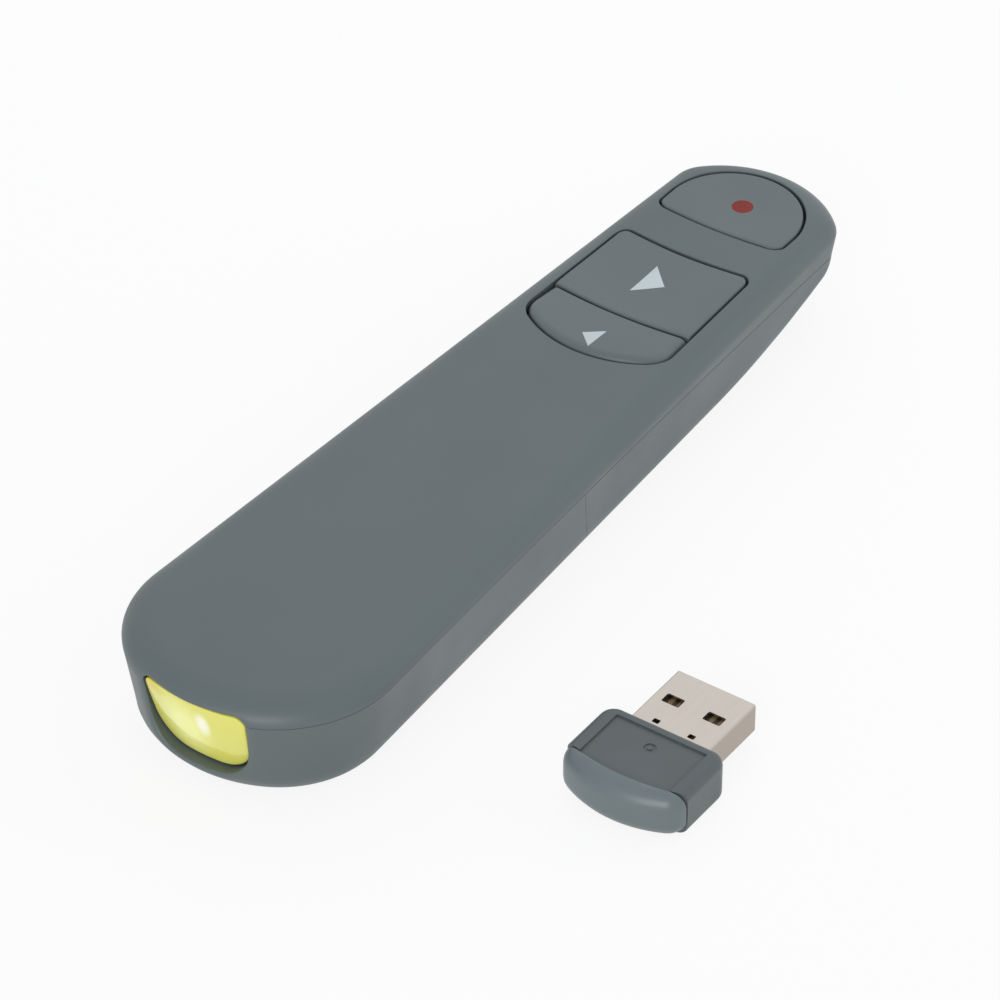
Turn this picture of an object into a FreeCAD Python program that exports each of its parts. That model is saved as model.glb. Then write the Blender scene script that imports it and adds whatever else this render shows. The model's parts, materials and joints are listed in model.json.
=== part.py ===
import FreeCAD, Part
import Sketcher
import math
import os
import re
from FreeCAD import Vector

# Wireless presentation clicker with its plug-in receiver, in millimetres.
# +X runs from the tail to the laser tip, +Z is up, the underside rests on z = 0.

os.makedirs("parts", exist_ok=True)
doc = FreeCAD.newDocument("PresentationClicker")
sheet = doc.addObject("Spreadsheet::Sheet", "Sizes")
sheet_row = 1
finished = []


def add_sizes(heading, names):
    """Write one group of the named dimensions to the sheet."""
    global sheet_row
    sheet.set("A%d" % sheet_row, heading)
    sheet_row += 1
    for name in names.split():
        sheet.set("A%d" % sheet_row, name)
        sheet.set("B%d" % sheet_row, "%.4f" % globals()[name])
        sheet.setAlias("B%d" % sheet_row, name)
        sheet_row += 1
    sheet.recompute()


def number(expression):
    """Value of an expression on the sheet's names."""
    return float(sheet.evalExpression(expression))


def linked(expression):
    """The same expression as an object outside the sheet has to write it."""
    return re.sub(r"[A-Za-z_]\w*", lambda word: "Sizes." + word.group(0), expression)


def bind(item, **expressions):
    """Tie properties of an object to the sheet."""
    for name, expression in expressions.items():
        item.setExpression(name, linked(expression))


def place(item, x, y, z):
    """Tie an object's position to the sheet."""
    item.setExpression("Placement.Base.x", linked(x))
    item.setExpression("Placement.Base.y", linked(y))
    item.setExpression("Placement.Base.z", linked(z))


def finish(item, label):
    """Give a sub-part its own label and put it on the list that is written out."""
    item.Label = label
    finished.append(item)
    return item


def plain_feature(label, shape):
    """A sub-part whose shape is worked out here from the sheet's sizes."""
    item = doc.addObject("Part::Feature", label)
    item.Shape = shape
    return finish(item, label)


def box(name, length, width, height, x, y, z):
    item = doc.addObject("Part::Box", name)
    bind(item, Length=length, Width=width, Height=height)
    place(item, x, y, z)
    return item


def cylinder(name, radius, height, x, y, z, along="Z"):
    item = doc.addObject("Part::Cylinder", name)
    bind(item, Radius=radius, Height=height)
    if along == "X":
        item.Placement.Rotation = FreeCAD.Rotation(Vector(0, 1, 0), 90)
    if along == "Y":
        item.Placement.Rotation = FreeCAD.Rotation(Vector(1, 0, 0), -90)
    place(item, x, y, z)
    return item


def cut(name, base, tool):
    item = doc.addObject("Part::Cut", name)
    item.Base = base
    item.Tool = tool
    return item


def fuse(name, shapes):
    item = doc.addObject("Part::MultiFuse", name)
    item.Shapes = shapes
    return item


def origin_plane(body, role):
    return [item for item in body.Origin.OriginFeatures if item.Role == role][0]


def polygon_sketch(body, name, role, corners, lift=None):
    """Closed outline on an origin plane; each corner is a pair of expressions."""
    sketch = body.newObject("Sketcher::SketchObject", name)
    sketch.AttachmentSupport = [(origin_plane(body, role), "")]
    sketch.MapMode = "FlatFace"
    if lift:
        sketch.setExpression("AttachmentOffset.Base.z", linked(lift))
    points = [Vector(number(x), number(y), 0) for x, y in corners]
    count = len(points)
    for index in range(count):
        sketch.addGeometry(Part.LineSegment(points[index], points[(index + 1) % count]))
    for index in range(count):
        sketch.addConstraint(Sketcher.Constraint("Coincident", index, 2, (index + 1) % count, 1))
    for index, (x, y) in enumerate(corners):
        for kind, text, start in (("DistanceX", x, points[index].x), ("DistanceY", y, points[index].y)):
            number_of = sketch.addConstraint(Sketcher.Constraint(kind, -1, 1, index, 1, start))
            sketch.setExpression("Constraints[%d]" % number_of, linked(text))
    return sketch


def padded_body(label, corners, thickness, role="XY_Plane", x="0", y="0", z="0"):
    """A flat piece: an outline on an origin plane, padded to a thickness."""
    body = doc.addObject("PartDesign::Body", label)
    sketch = polygon_sketch(body, label + "_outline", role, corners)
    pad = body.newObject("PartDesign::Pad", label + "_pad")
    pad.Profile = sketch
    pad.setExpression("Length", linked(thickness))
    place(body, x, y, z)
    return body


def turned_body(label, corners, x, y, z, along="X"):
    """A lathe-turned piece: half a section, as length and radius, spun about its axis."""
    body = doc.addObject("PartDesign::Body", label)
    if along == "X":
        sketch = polygon_sketch(body, label + "_section", "XY_Plane", corners)
        axis = "H_Axis"
    else:
        sketch = polygon_sketch(body, label + "_section", "XZ_Plane", [(r, l) for l, r in corners])
        axis = "V_Axis"
    turn = body.newObject("PartDesign::Revolution", label + "_turn")
    turn.Profile = sketch
    turn.ReferenceAxis = (sketch, [axis])
    turn.Angle = 360
    place(body, x, y, z)
    return body


def rectangle(length, width):
    """Corners of a rectangle about the origin."""
    half_length = "(" + length + ") / 2"
    half_width = "(" + width + ") / 2"
    return [("-" + half_length, "-" + half_width), (half_length, "-" + half_width),
            (half_length, half_width), ("-" + half_length, half_width)]


# Sizes: cells and tray

cell_radius = 5.25
cell_body = 43.6
nub_length = 0.9
nub_radius = 1.9
cell_side_gap = 0.3
cell_floor_gap = 0.3
cell_slack = 0.25
wall = 1.5
plate_thick = 0.4
plate_half_width = 4.4
plate_height = 8.4
contact_gap = 0.05
spring_room = 2.2
spring_wire = 0.25
spring_wide = 3.6
spring_narrow = 2.0
tray_wall = 1.0
tray_roof = 0.8
tray_tail = 15.5
rib_half = 0.25
tray_floor_gap = 0.5
cell_aside = cell_radius + cell_side_gap
cell_level = wall + cell_floor_gap + cell_radius
tray_half_width = cell_aside + cell_radius + cell_slack + tray_wall
tray_low = wall + tray_floor_gap
tray_top = cell_level + cell_radius + cell_side_gap + tray_roof
cell_length = cell_body + nub_length
tray_tip = tray_tail + 2 * tray_wall + 2 * plate_thick + cell_length + 2 * contact_gap + spring_room
add_sizes("Cells and tray", """
    cell_radius cell_body nub_length nub_radius cell_side_gap cell_floor_gap cell_slack wall
    plate_thick plate_half_width plate_height contact_gap spring_room spring_wire spring_wide
    spring_narrow tray_wall tray_roof tray_tail rib_half tray_floor_gap cell_aside cell_level
    tray_half_width tray_low tray_top cell_length tray_tip
""")


# Sizes: casing

case_length = 140.0
case_half_tail = 19.9
case_half_tip = 12.75
case_height = 16.6
tail_flatness = 1.6
tail_side_ease = 3.2
tip_flatness = 3.45
tip_corner_radius = 5.5
crown_height = 3.0
crown_width = 4.8
crown_inner_width = 4.2
wall_draft = 2.1
bottom_round = 3.4
inner_bottom_round = 2.0
sweep_length = 35.0
sweep_rise = 4.0
parting_drop_tail = 3.2
parting_drop_middle = 3.6
parting_drop_tip = 6.6
door_past_tray = 0.4
door_edge_lean = 3.9
origin_past_door = 6.5
seam_gap = 0.2
overrun = 5.0
least_radius = 0.8
seat = 0.1
tiny = 0.001
tail_nose_radius = case_half_tail + tail_flatness
tail_corner_radius = case_half_tail - tail_side_ease
tip_nose_radius = case_half_tip + tip_flatness
widest_level = case_height - crown_height
sweep_start = case_length - sweep_length
parting_at_tail = case_height - parting_drop_tail
parting_at_middle = case_height - parting_drop_middle
parting_at_tip = case_height - parting_drop_tip
door_length = tray_tip + door_past_tray
origin_from_tail = door_length + origin_past_door
add_sizes("Casing", """
    case_length case_half_tail case_half_tip case_height tail_flatness tail_side_ease
    tip_flatness tip_corner_radius crown_height crown_width crown_inner_width wall_draft
    bottom_round inner_bottom_round sweep_length sweep_rise parting_drop_tail
    parting_drop_middle parting_drop_tip door_past_tray door_edge_lean origin_past_door seam_gap overrun
    least_radius seat tiny tail_nose_radius tail_corner_radius tip_nose_radius widest_level
    sweep_start parting_at_tail parting_at_middle parting_at_tip door_length origin_from_tail
""")


# Sizes: tail window and light

opening_half_width = 8.4
opening_low_ease = 0.9
opening_low = 3.0
opening_top_margin = 2.0
opening_high_round = 1.8
opening_low_round = 5.0
bezel_depth = 6.0
bezel_side = 1.3
lens_front_high = 0.7
lens_front_low = 3.8
lens_flat_radius = 21.0
lens_gap = 0.3
lens_past_bezel = 0.6
guide_gap = 0.2
guide_half_width = 5.0
guide_height = 6.0
light_board_thick = 0.8
light_board_half = 7.0
light_board_foot = 2.2
light_board_height = 8.0
light_length = 2.2
light_width = 3.0
light_height = 2.4
light_raise = 0.9
opening_high = case_height - opening_top_margin
light_level = (opening_low + opening_high) / 2 + light_raise
lens_back = bezel_depth + lens_past_bezel
light_board_low = tray_low + light_board_foot
guide_length = tray_tail - light_board_thick - light_length - seat - lens_back - guide_gap
add_sizes("Tail window and light", """
    opening_half_width opening_low_ease opening_low opening_top_margin opening_high_round
    opening_low_round bezel_depth bezel_side lens_front_high lens_front_low lens_flat_radius lens_gap
    lens_past_bezel guide_gap guide_half_width guide_height light_board_thick light_board_half
    light_board_foot light_board_height light_length light_width light_height light_raise
    opening_high light_level lens_back light_board_low guide_length
""")


# Sizes: buttons

laser_end_margin = 3.9
laser_length = 14.9
laser_side_margin = 2.5
laser_corner = 2.0
button_bridge = 7.0
next_length = 17.3
back_length = 10.3
pair_side_margin = 1.9
pair_spread = 1.05
pair_flatness = 5.5
pair_tail_corner = 4.4
pair_tip_corner = 1.8
divider_radius = 73.0
divider_gap = 0.45
button_depth = 3.6
cap_gap = 0.3
cap_flange = 0.6
cap_flange_thick = 1.0
cap_lift = 0.15
cap_edge_round = 0.4
collar_width = 0.9
laser_dish = 0.5
laser_dish_reach = 8.0
next_dish = 0.3
back_rise = 0.6
back_drop = 0.1
back_edge_round = 1.2
boss_radius = 1.6
boss_drop = 0.3
laser_switch_inset = 2.3
next_switch_inset = 8.1
back_switch_inset = 4.4
mark_depth = 0.3
dot_radius = 1.55
dot_inset = 7.6
next_mark_inset = 9.5
next_mark_length = 6.85
next_mark_base = 1.75
next_mark_point = -1.75
back_mark_inset = 4.0
back_mark_length = 4.55
back_mark_base = -1.3
back_mark_point = 1.2
laser_tip = case_length - laser_end_margin
laser_tail = laser_tip - laser_length
laser_half_width = case_half_tip - laser_side_margin
pair_tip = laser_tail - button_bridge
divider = pair_tip - next_length
pair_tail = divider - back_length
pair_half_tip = case_half_tip - pair_side_margin
pair_half_tail = pair_half_tip + pair_spread
pair_nose_radius = pair_half_tail + pair_flatness
cap_flange_low = case_height - button_depth
boss_low = cap_flange_low - boss_drop
laser_switch_at = laser_tail + laser_switch_inset
next_switch_at = divider + next_switch_inset
back_switch_at = pair_tail + back_switch_inset
dot_at = laser_tail + dot_inset
next_mark_at = divider + next_mark_inset
back_mark_at = pair_tail + back_mark_inset
add_sizes("Buttons", """
    laser_end_margin laser_length laser_side_margin laser_corner button_bridge next_length
    back_length pair_side_margin pair_spread pair_flatness pair_tail_corner pair_tip_corner
    divider_radius divider_gap button_depth cap_gap cap_flange cap_flange_thick cap_lift
    cap_edge_round collar_width laser_dish laser_dish_reach next_dish back_rise back_drop
    back_edge_round boss_radius boss_drop laser_switch_inset next_switch_inset
    back_switch_inset mark_depth dot_radius dot_inset next_mark_inset next_mark_length
    next_mark_base next_mark_point back_mark_inset back_mark_length back_mark_base
    back_mark_point laser_tip laser_tail laser_half_width pair_tip divider pair_tail
    pair_half_tip pair_half_tail pair_nose_radius cap_flange_low boss_low laser_switch_at
    next_switch_at back_switch_at dot_at next_mark_at back_mark_at
""")


# Sizes: board and switches

board_thick = 1.0
board_past_door = 3.7
board_tip_margin = 13.8
board_tail_margin = 6.7
board_side_margin = 2.55
switch_side = 5.2
switch_height = 3.1
press_room = 0.6
plunger_radius = 1.2
plunger_play = 0.05
plunger_length = 1.7
shield_inset = 11.3
shield_length = 9.0
shield_width = 8.0
shield_height = 1.6
chip_side = 5.0
chip_height = 0.9
chip_aside = 6.5
crystal_length = 5.0
crystal_width = 2.2
crystal_height = 1.3
board_low = boss_low - press_room - switch_height - board_thick
board_tail = door_length + board_past_door
board_tip = case_length - board_tip_margin
board_half_tail = case_half_tail - board_tail_margin
board_half_tip = case_half_tip - board_side_margin
plunger_low = boss_low - plunger_length
switch_bore_low = plunger_low - press_room
shield_at = board_tail + shield_inset
chip_at = (back_switch_at + next_switch_at) / 2
add_sizes("Board and switches", """
    board_thick board_past_door board_tip_margin board_tail_margin board_side_margin
    switch_side switch_height press_room plunger_radius plunger_play plunger_length
    shield_inset shield_length shield_width shield_height chip_side chip_height chip_aside
    crystal_length crystal_width crystal_height board_low board_tail board_tip board_half_tail
    board_half_tip plunger_low switch_bore_low shield_at chip_at
""")


# Sizes: posts, screws and slide switch

post_radius = 2.4
foot_radius = 3.2
screw_hole = 1.2
pilot_radius = 0.95
pilot_end_wall = 2.6
head_well_radius = 2.15
head_well_depth = 3.0
rear_post_past_door = 10.5
rear_post_aside = 9.5
front_post_aside = 7.0
tray_post_radius = 2.6
tray_post_gap = 0.2
tray_screw_tail_inset = 12.5
tray_screw_tip_inset = 9.1
screw_head_radius = 1.9
screw_head_height = 1.1
shank_radius = 0.9
screw_end_room = 1.4
tray_screw_grip = 0.9
drive_radius = 0.8
drive_depth = 0.6
slot_before_switch = 1.0
slot_travel = 2.5
slot_play = 0.35
stem_length = 2.6
stem_width = 1.8
slot_recess_length = 11.0
slot_recess_width = 6.0
slot_recess_depth = 0.8
slider_length = 8.6
slider_width = 3.6
slider_height = 3.4
knob_length = 5.5
knob_width = 5.0
knob_thick = 0.4
knob_low = 0.3
pilot_top = case_height - pilot_end_wall
rear_post_at = door_length + rear_post_past_door
front_post_at = (pair_tip + laser_tail) / 2
tray_post_low = tray_top + tray_post_gap
tray_screw_near = tray_tail + tray_screw_tail_inset
tray_screw_far = tray_tip - tray_screw_tip_inset
case_shank = pilot_top - screw_end_room - head_well_depth
tray_shank = tray_roof + tray_post_gap + tray_screw_grip
slot_at = back_switch_at - slot_before_switch
add_sizes("Posts, screws and slide switch", """
    post_radius foot_radius screw_hole pilot_radius pilot_end_wall head_well_radius
    head_well_depth rear_post_past_door rear_post_aside front_post_aside tray_post_radius
    tray_post_gap tray_screw_tail_inset tray_screw_tip_inset screw_head_radius
    screw_head_height shank_radius screw_end_room tray_screw_grip drive_radius drive_depth
    slot_before_switch slot_travel slot_play stem_length stem_width slot_recess_length
    slot_recess_width slot_recess_depth slider_length slider_width slider_height knob_length
    knob_width knob_thick knob_low pilot_top rear_post_at front_post_at tray_post_low
    tray_screw_near tray_screw_far case_shank tray_shank slot_at
""")


# Sizes: laser

tip_flat_depth = 2.6
tip_half_width = 3.15
tip_frame_side = 1.5
tip_low = 5.4
tip_top_margin = 3.2
shade_thick = 0.45
shade_overlap = 1.05
shade_foot = 0.5
shade_top_margin = 2.2
shade_gap = 0.03
barrel_radius = 3.0
barrel_bore = 2.3
barrel_length = 9.4
barrel_lip = 0.6
barrel_gap = 0.3
beam_radius = 1.3
beam_over_board = 0.2
diode_flange = 0.8
diode_can_radius = 1.6
diode_can = 2.2
lens_thick = 1.4
lens_bulge = 0.5
holder_inset = 1.5
holder_length = 6.0
holder_half_width = 4.6
holder_clear = 0.9
barrel_fit = 0.05
tip_flat_at = case_length - tip_flat_depth
tip_high = case_height - tip_top_margin
shade_low = tip_low - shade_foot
shade_high = case_height - shade_top_margin
shade_half_width = tip_half_width + shade_overlap
barrel_tail = board_tip + barrel_gap
beam_level = board_low + beam_over_board
holder_tail = barrel_tail + holder_inset
holder_tip = holder_tail + holder_length
holder_high = cap_flange_low - holder_clear
add_sizes("Laser", """
    tip_flat_depth tip_half_width tip_frame_side tip_low tip_top_margin tip_high shade_thick
    shade_overlap shade_foot
    shade_top_margin shade_gap barrel_radius barrel_bore barrel_length barrel_lip barrel_gap
    beam_radius beam_over_board diode_flange diode_can_radius diode_can lens_thick lens_bulge
    holder_inset holder_length holder_half_width holder_clear barrel_fit tip_flat_at shade_low
    shade_high shade_half_width barrel_tail beam_level holder_tail holder_tip holder_high
""")


# Sizes: receiver

receiver_aside = -47.6
receiver_tail = 25.0
receiver_length = 14.0
receiver_half_width = 9.2
receiver_height = 6.6
receiver_flatness = 7.4
receiver_tail_corner = 2.5
receiver_tip_corner = 1.2
receiver_round = 0.8
receiver_wall = 1.2
groove_inset = 2.0
groove_radius = 33.2
groove_gap = 0.35
cap_extra_width = 0.3
cap_extra_height = 0.3
end_cap_round = 1.3
panel_tail_margin = 1.8
panel_tip_margin = 2.1
panel_side_margin = 2.6
panel_depth = 0.3
panel_corner = 1.0
dimple_inset = 4.8
dimple_radius = 1.0
plug_length = 11.15
plug_buried = 1.0
plug_half_width = 6.0
plug_height = 4.5
plug_wall = 0.3
plug_round = 0.5
hatch_inset = 5.2
hatch_length = 1.9
hatch_width = 2.5
hatch_aside = 3.1
notch_inset = 1.1
notch_length = 0.9
notch_width = 1.2
notch_aside = 2.7
tongue_raise = 1.6
tongue_thick = 1.9
tongue_side_gap = 0.4
tongue_setback = 0.55
contact_thick = 0.2
contact_width = 1.0
contact_pitch = 2.3
contact_inset = 1.5
inner_board_thick = 0.8
inner_board_side = 2.4
inner_board_inset = 2.2
chip_long = 5.0
chip_wide = 5.0
chip_high = 0.8
receiver_tip = receiver_tail + receiver_length
receiver_nose = receiver_half_width + receiver_flatness
groove_at = receiver_tail + groove_inset
cap_height = receiver_height + cap_extra_height
panel_tail = groove_at + panel_tail_margin
panel_tip = receiver_tip - panel_tip_margin
panel_half_width = receiver_half_width - panel_side_margin
dimple_at = receiver_tip - dimple_inset
plug_tip = receiver_tip + plug_length
plug_root = receiver_tip - plug_buried
plug_level = receiver_height / 2
hatch_at = receiver_tip + hatch_inset
notch_at = receiver_tip + notch_inset
tongue_high = plug_level + tongue_raise
tongue_half_width = plug_half_width - tongue_side_gap
tongue_tip = plug_tip - tongue_setback
contact_tail = receiver_tip + contact_inset
inner_board_half = receiver_half_width - inner_board_side
inner_board_tail = groove_at + inner_board_inset
add_sizes("Receiver", """
    receiver_aside receiver_tail receiver_length receiver_half_width receiver_height
    receiver_flatness receiver_tail_corner receiver_tip_corner receiver_round receiver_wall
    groove_inset groove_radius groove_gap cap_extra_width cap_extra_height end_cap_round
    panel_tail_margin panel_tip_margin panel_side_margin panel_depth panel_corner dimple_inset
    dimple_radius plug_length plug_buried plug_half_width plug_height plug_wall plug_round
    hatch_inset hatch_length hatch_width hatch_aside notch_inset notch_length notch_width
    notch_aside tongue_raise tongue_thick tongue_side_gap tongue_setback contact_thick
    contact_width contact_pitch contact_inset inner_board_thick inner_board_side
    inner_board_inset chip_long chip_wide chip_high receiver_tip receiver_nose groove_at
    cap_height panel_tail panel_tip panel_half_width dimple_at plug_tip plug_root plug_level
    hatch_at notch_at tongue_high tongue_half_width tongue_tip contact_tail inner_board_half
    inner_board_tail
""")


# Casing: plan outline, side view and walls



def x_at(from_tail):
    """Place along the clicker, counted from its tail, in the part's own frame."""
    return from_tail - origin_from_tail


def arc_between(centre, radius, start, end, level):
    """An arc from one angle to another at a level; nothing if it has no length."""
    if abs(end - start) < tiny:
        return []
    points = [Vector(centre[0] + radius * math.cos(angle), centre[1] + radius * math.sin(angle), level)
              for angle in (start, (start + end) / 2, end)]
    return [Part.Arc(*points).toShape()]


def end_centres(tip, side, nose, corner, normal, reach):
    """Centres of the nose arc and corner arc of one end, and the angle where they meet."""
    nose_centre = (tip + side * nose, 0.0)
    spare = nose - corner
    if spare < tiny:
        return nose_centre, nose_centre, 0.0 if side < 0 else math.pi
    depth = normal[0] * nose_centre[0] - (reach - corner)
    foot = (nose_centre[0] - depth * normal[0], -depth * normal[1])
    along = math.sqrt(spare ** 2 - depth ** 2)
    corner_centre = (foot[0] - side * along * normal[1], foot[1] + side * along * normal[0])
    angle = math.atan2(corner_centre[1], corner_centre[0] - nose_centre[0])
    return nose_centre, corner_centre, angle


def tapered_outline(level, inset, tail, tip, half_tail, half_tip, tail_nose, tail_corner, tip_nose, tip_corner):
    """Closed wire of two straight tapered sides and round ends, drawn inwards by inset.

    A nose radius of zero stands for a straight end."""
    slope = math.atan2(half_tail - half_tip, tip - tail)
    normal = (math.sin(slope), math.cos(slope))
    reach = normal[0] * tail + normal[1] * half_tail - inset
    side_angle = math.pi / 2 - slope
    ends = []
    tail_end = (tail + inset, 1, tail_nose, tail_corner)
    tip_end = (tip - inset, -1, tip_nose, tip_corner)
    for tip_x, side, nose, corner in (tail_end, tip_end):
        corner_now = max(corner - inset, least_radius)
        if nose:
            ends.append(end_centres(tip_x, side, max(nose - inset, corner_now), corner_now, normal, reach)
                        + (max(nose - inset, corner_now), corner_now))
        else:
            centre_x = tip_x + side * corner_now
            centre = (centre_x, (reach - corner_now - normal[0] * centre_x) / normal[1])
            ends.append((None, centre, math.pi if side > 0 else 0.0, None, corner_now))
    (nose_a, corner_a, angle_a, radius_a, small_a), (nose_b, corner_b, angle_b, radius_b, small_b) = ends
    upper = arc_between(corner_a, small_a, angle_a, side_angle, level)
    side_start = Vector(corner_a[0] + small_a * normal[0], corner_a[1] + small_a * normal[1], level)
    side_end = Vector(corner_b[0] + small_b * normal[0], corner_b[1] + small_b * normal[1], level)
    upper.append(Part.LineSegment(side_start, side_end).toShape())
    upper += arc_between(corner_b, small_b, side_angle, angle_b, level)
    lower = [edge.mirror(Vector(0, 0, level), Vector(0, 1, 0)) for edge in reversed(upper)]
    edges = list(upper)
    if nose_b is None:
        edges.append(Part.LineSegment(Vector(tip - inset, corner_b[1], level),
                                      Vector(tip - inset, -corner_b[1], level)).toShape())
    else:
        edges += arc_between(nose_b, radius_b, angle_b, -angle_b, level)
    edges += lower
    if nose_a is None:
        edges.append(Part.LineSegment(Vector(tail + inset, -corner_a[1], level),
                                      Vector(tail + inset, corner_a[1], level)).toShape())
    else:
        edges += arc_between(nose_a, radius_a, 2 * math.pi - angle_a, angle_a, level)
    return Part.Wire(Part.__sortEdges__(edges))


def case_wire(level, inset):
    return tapered_outline(level, inset, x_at(0), x_at(case_length), case_half_tail, case_half_tip,
                           tail_nose_radius, tail_corner_radius,
                           tip_nose_radius, tip_corner_radius)


def side_view_block(points_and_arcs, half_depth):
    """A block as deep as the casing is wide, cut to a closed outline in the side view."""
    face = Part.Face(Part.Wire(points_and_arcs))
    face.translate(Vector(0, -half_depth, 0))
    return face.extrude(Vector(0, 2 * half_depth, 0))


def side_line(x1, z1, x2, z2):
    return Part.LineSegment(Vector(x1, 0, z1), Vector(x2, 0, z2)).toShape()


def underside_block(inset):
    """Everything below the underside, which is flat and then sweeps up towards the tip."""
    run = case_length - sweep_start
    radius = (run ** 2 + sweep_rise ** 2) / (2 * sweep_rise)
    start_x = x_at(sweep_start)
    end_angle = math.asin((run + overrun) / radius)
    tight = radius - inset
    low = -overrun
    left = x_at(-overrun)
    middle = Vector(start_x + tight * math.sin(end_angle / 2), 0, radius - tight * math.cos(end_angle / 2))
    end = Vector(start_x + tight * math.sin(end_angle), 0, radius - tight * math.cos(end_angle))
    sweep = Part.Arc(Vector(start_x, 0, inset), middle, end).toShape()
    return side_view_block([side_line(left, inset, start_x, inset), sweep,
                            side_line(end.x, end.z, end.x, low), side_line(end.x, low, left, low),
                            side_line(left, low, left, inset)], case_half_tail + overrun)


def on_underside(edge_point, inset):
    """True where a point of the casing lies on the underside's flat or its sweep."""
    run = case_length - sweep_start
    radius = (run ** 2 + sweep_rise ** 2) / (2 * sweep_rise)
    start_x = x_at(sweep_start)
    if edge_point.x <= start_x:
        return abs(edge_point.z - inset) < tiny
    reach = math.hypot(edge_point.x - start_x, edge_point.z - radius)
    return abs(reach - (radius - inset)) < tiny


def case_solid(inset, bottom_radius, crown):
    """The casing's whole outer form, or the same form drawn inwards for its hollow."""
    low = Part.makeLoft([case_wire(0, inset + wall_draft), case_wire(widest_level, inset)], True, True)
    low = low.cut(underside_block(inset))
    rim = []
    for edge in low.Edges:
        ends = [vertex.Point for vertex in edge.Vertexes]
        middle = edge.valueAt((edge.FirstParameter + edge.LastParameter) / 2)
        crosses = abs(abs(ends[0].y) - abs(ends[-1].y)) < tiny and ends[0].y * ends[-1].y < 0 and edge.Length > 0
        straight_across = crosses and abs(ends[0].x - ends[-1].x) < tiny and abs(middle.x - ends[0].x) < tiny
        if all(on_underside(point, inset) for point in ends + [middle]) and not straight_across:
            rim.append(edge)
    low = low.makeFillet(bottom_radius, rim)
    top = case_height - inset
    sections = []
    steps = 5
    for step in range(steps + 1):
        angle = math.pi / 2 * step / steps
        sections.append(case_wire(widest_level + (top - widest_level) * math.sin(angle),
                                  inset + crown * (1 - math.cos(angle))))
    return low.fuse(Part.makeLoft(sections, True, False))


def parting_level(share):
    """Height of the parting line at a share of the half length, minus towards the tail."""
    lean = (parting_at_tip - parting_at_tail) / 2
    bulge = parting_at_middle - (parting_at_tail + parting_at_tip) / 2
    return parting_at_middle + lean * share - bulge * share ** 2


def parting_block(drop):
    """Everything below the parting line, a shallow arc in the side view, lowered by a gap."""
    half = case_length / 2
    centre = x_at(half)
    reach = half + overrun
    tail_level = parting_level(-reach / half) - drop
    tip_level = parting_level(reach / half) - drop
    arc = Part.Arc(Vector(centre - reach, 0, tail_level), Vector(centre, 0, parting_at_middle - drop),
                   Vector(centre + reach, 0, tip_level)).toShape()
    low = -overrun
    return side_view_block([arc, side_line(centre + reach, tip_level, centre + reach, low),
                            side_line(centre + reach, low, centre - reach, low),
                            side_line(centre - reach, low, centre - reach, tail_level)],
                           case_half_tail + overrun)


def door_block(shift):
    """Everything tailwards of the battery door's slanted front edge, moved by a shift."""
    top_x = x_at(door_length) + shift
    low_x = top_x + door_edge_lean
    left = x_at(-overrun)
    rise = parting_at_middle + overrun
    lean_up = door_edge_lean * overrun / parting_at_middle
    return side_view_block([side_line(left, -overrun, low_x + lean_up, -overrun),
                            side_line(low_x + lean_up, -overrun, top_x - lean_up, rise),
                            side_line(top_x - lean_up, rise, left, rise),
                            side_line(left, rise, left, -overrun)],
                           case_half_tail + overrun)


case_outer = case_solid(0, bottom_round, crown_width)
case_hollow = case_solid(wall, inner_bottom_round, crown_inner_width)
case_skin = case_outer.cut(case_hollow)
upper_skin = case_skin.cut(parting_block(0))
lower_skin = case_skin.common(parting_block(seam_gap))


def upright(radius, low, high, from_tail, aside):
    """A round post between two levels."""
    return Part.makeCylinder(radius, high - low, Vector(x_at(from_tail), aside, low))


def slab(from_tail, to_tail, aside, half_width, low, high):
    """A plain block between two places along the clicker."""
    return Part.makeBox(to_tail - from_tail, 2 * half_width, high - low,
                        Vector(x_at(from_tail), aside - half_width, low))


def filled(wire, rise):
    return Part.Face(wire).extrude(Vector(0, 0, rise))


# Tail window: a leaning, rounded tinted lens in a shield-like opening in the nose



def opening_prism(shrink, start, end):
    """The tail opening's outline, narrower and rounder below, run along the clicker."""
    high_half = opening_half_width - shrink
    low_half = high_half - opening_low_ease
    high = opening_high - shrink
    low = opening_low + shrink
    corners = [Vector(x_at(start), high_half, high), Vector(x_at(start), -high_half, high),
               Vector(x_at(start), -low_half, low), Vector(x_at(start), low_half, low)]
    prism = Part.Face(Part.makePolygon(corners + corners[:1])).extrude(Vector(end - start, 0, 0))
    for radius, level in ((opening_high_round, high), (opening_low_round, low)):
        long_edges = [edge for edge in prism.Edges
                      if abs(edge.tangentAt(edge.FirstParameter).x) > 1 - tiny
                      and abs(edge.Vertexes[0].Point.z - level) < tiny]
        prism = prism.makeFillet(radius - shrink, long_edges)
    return prism


def window_front():
    """A leaning round form: a slanting line spun about an upright line behind it."""
    high_x = x_at(lens_front_high)
    low_x = x_at(lens_front_low)
    axis = high_x + lens_flat_radius
    section = Part.Face(Part.Wire([side_line(low_x, opening_low, high_x, opening_high),
                                   side_line(high_x, opening_high, axis, opening_high),
                                   side_line(axis, opening_high, axis, opening_low),
                                   side_line(axis, opening_low, low_x, opening_low)]))
    return section.revolve(Vector(axis, 0, 0), Vector(0, 0, 1), 360)


nose_block = case_outer.common(slab(-overrun, bezel_depth, 0,
                                    opening_half_width + bezel_side, 0, case_height))
tail_opening = opening_prism(0, -overrun, bezel_depth + overrun)
plain_feature("tail_window", window_front().common(opening_prism(lens_gap, 0, lens_back)))

light_guide = box("light_guide", "guide_length", "2 * guide_half_width", "guide_height",
                  "lens_back + guide_gap - origin_from_tail", "-guide_half_width", "light_level - guide_height / 2")
finish(light_guide, "light_guide")


# Buttons: openings, guide collars and caps



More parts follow.
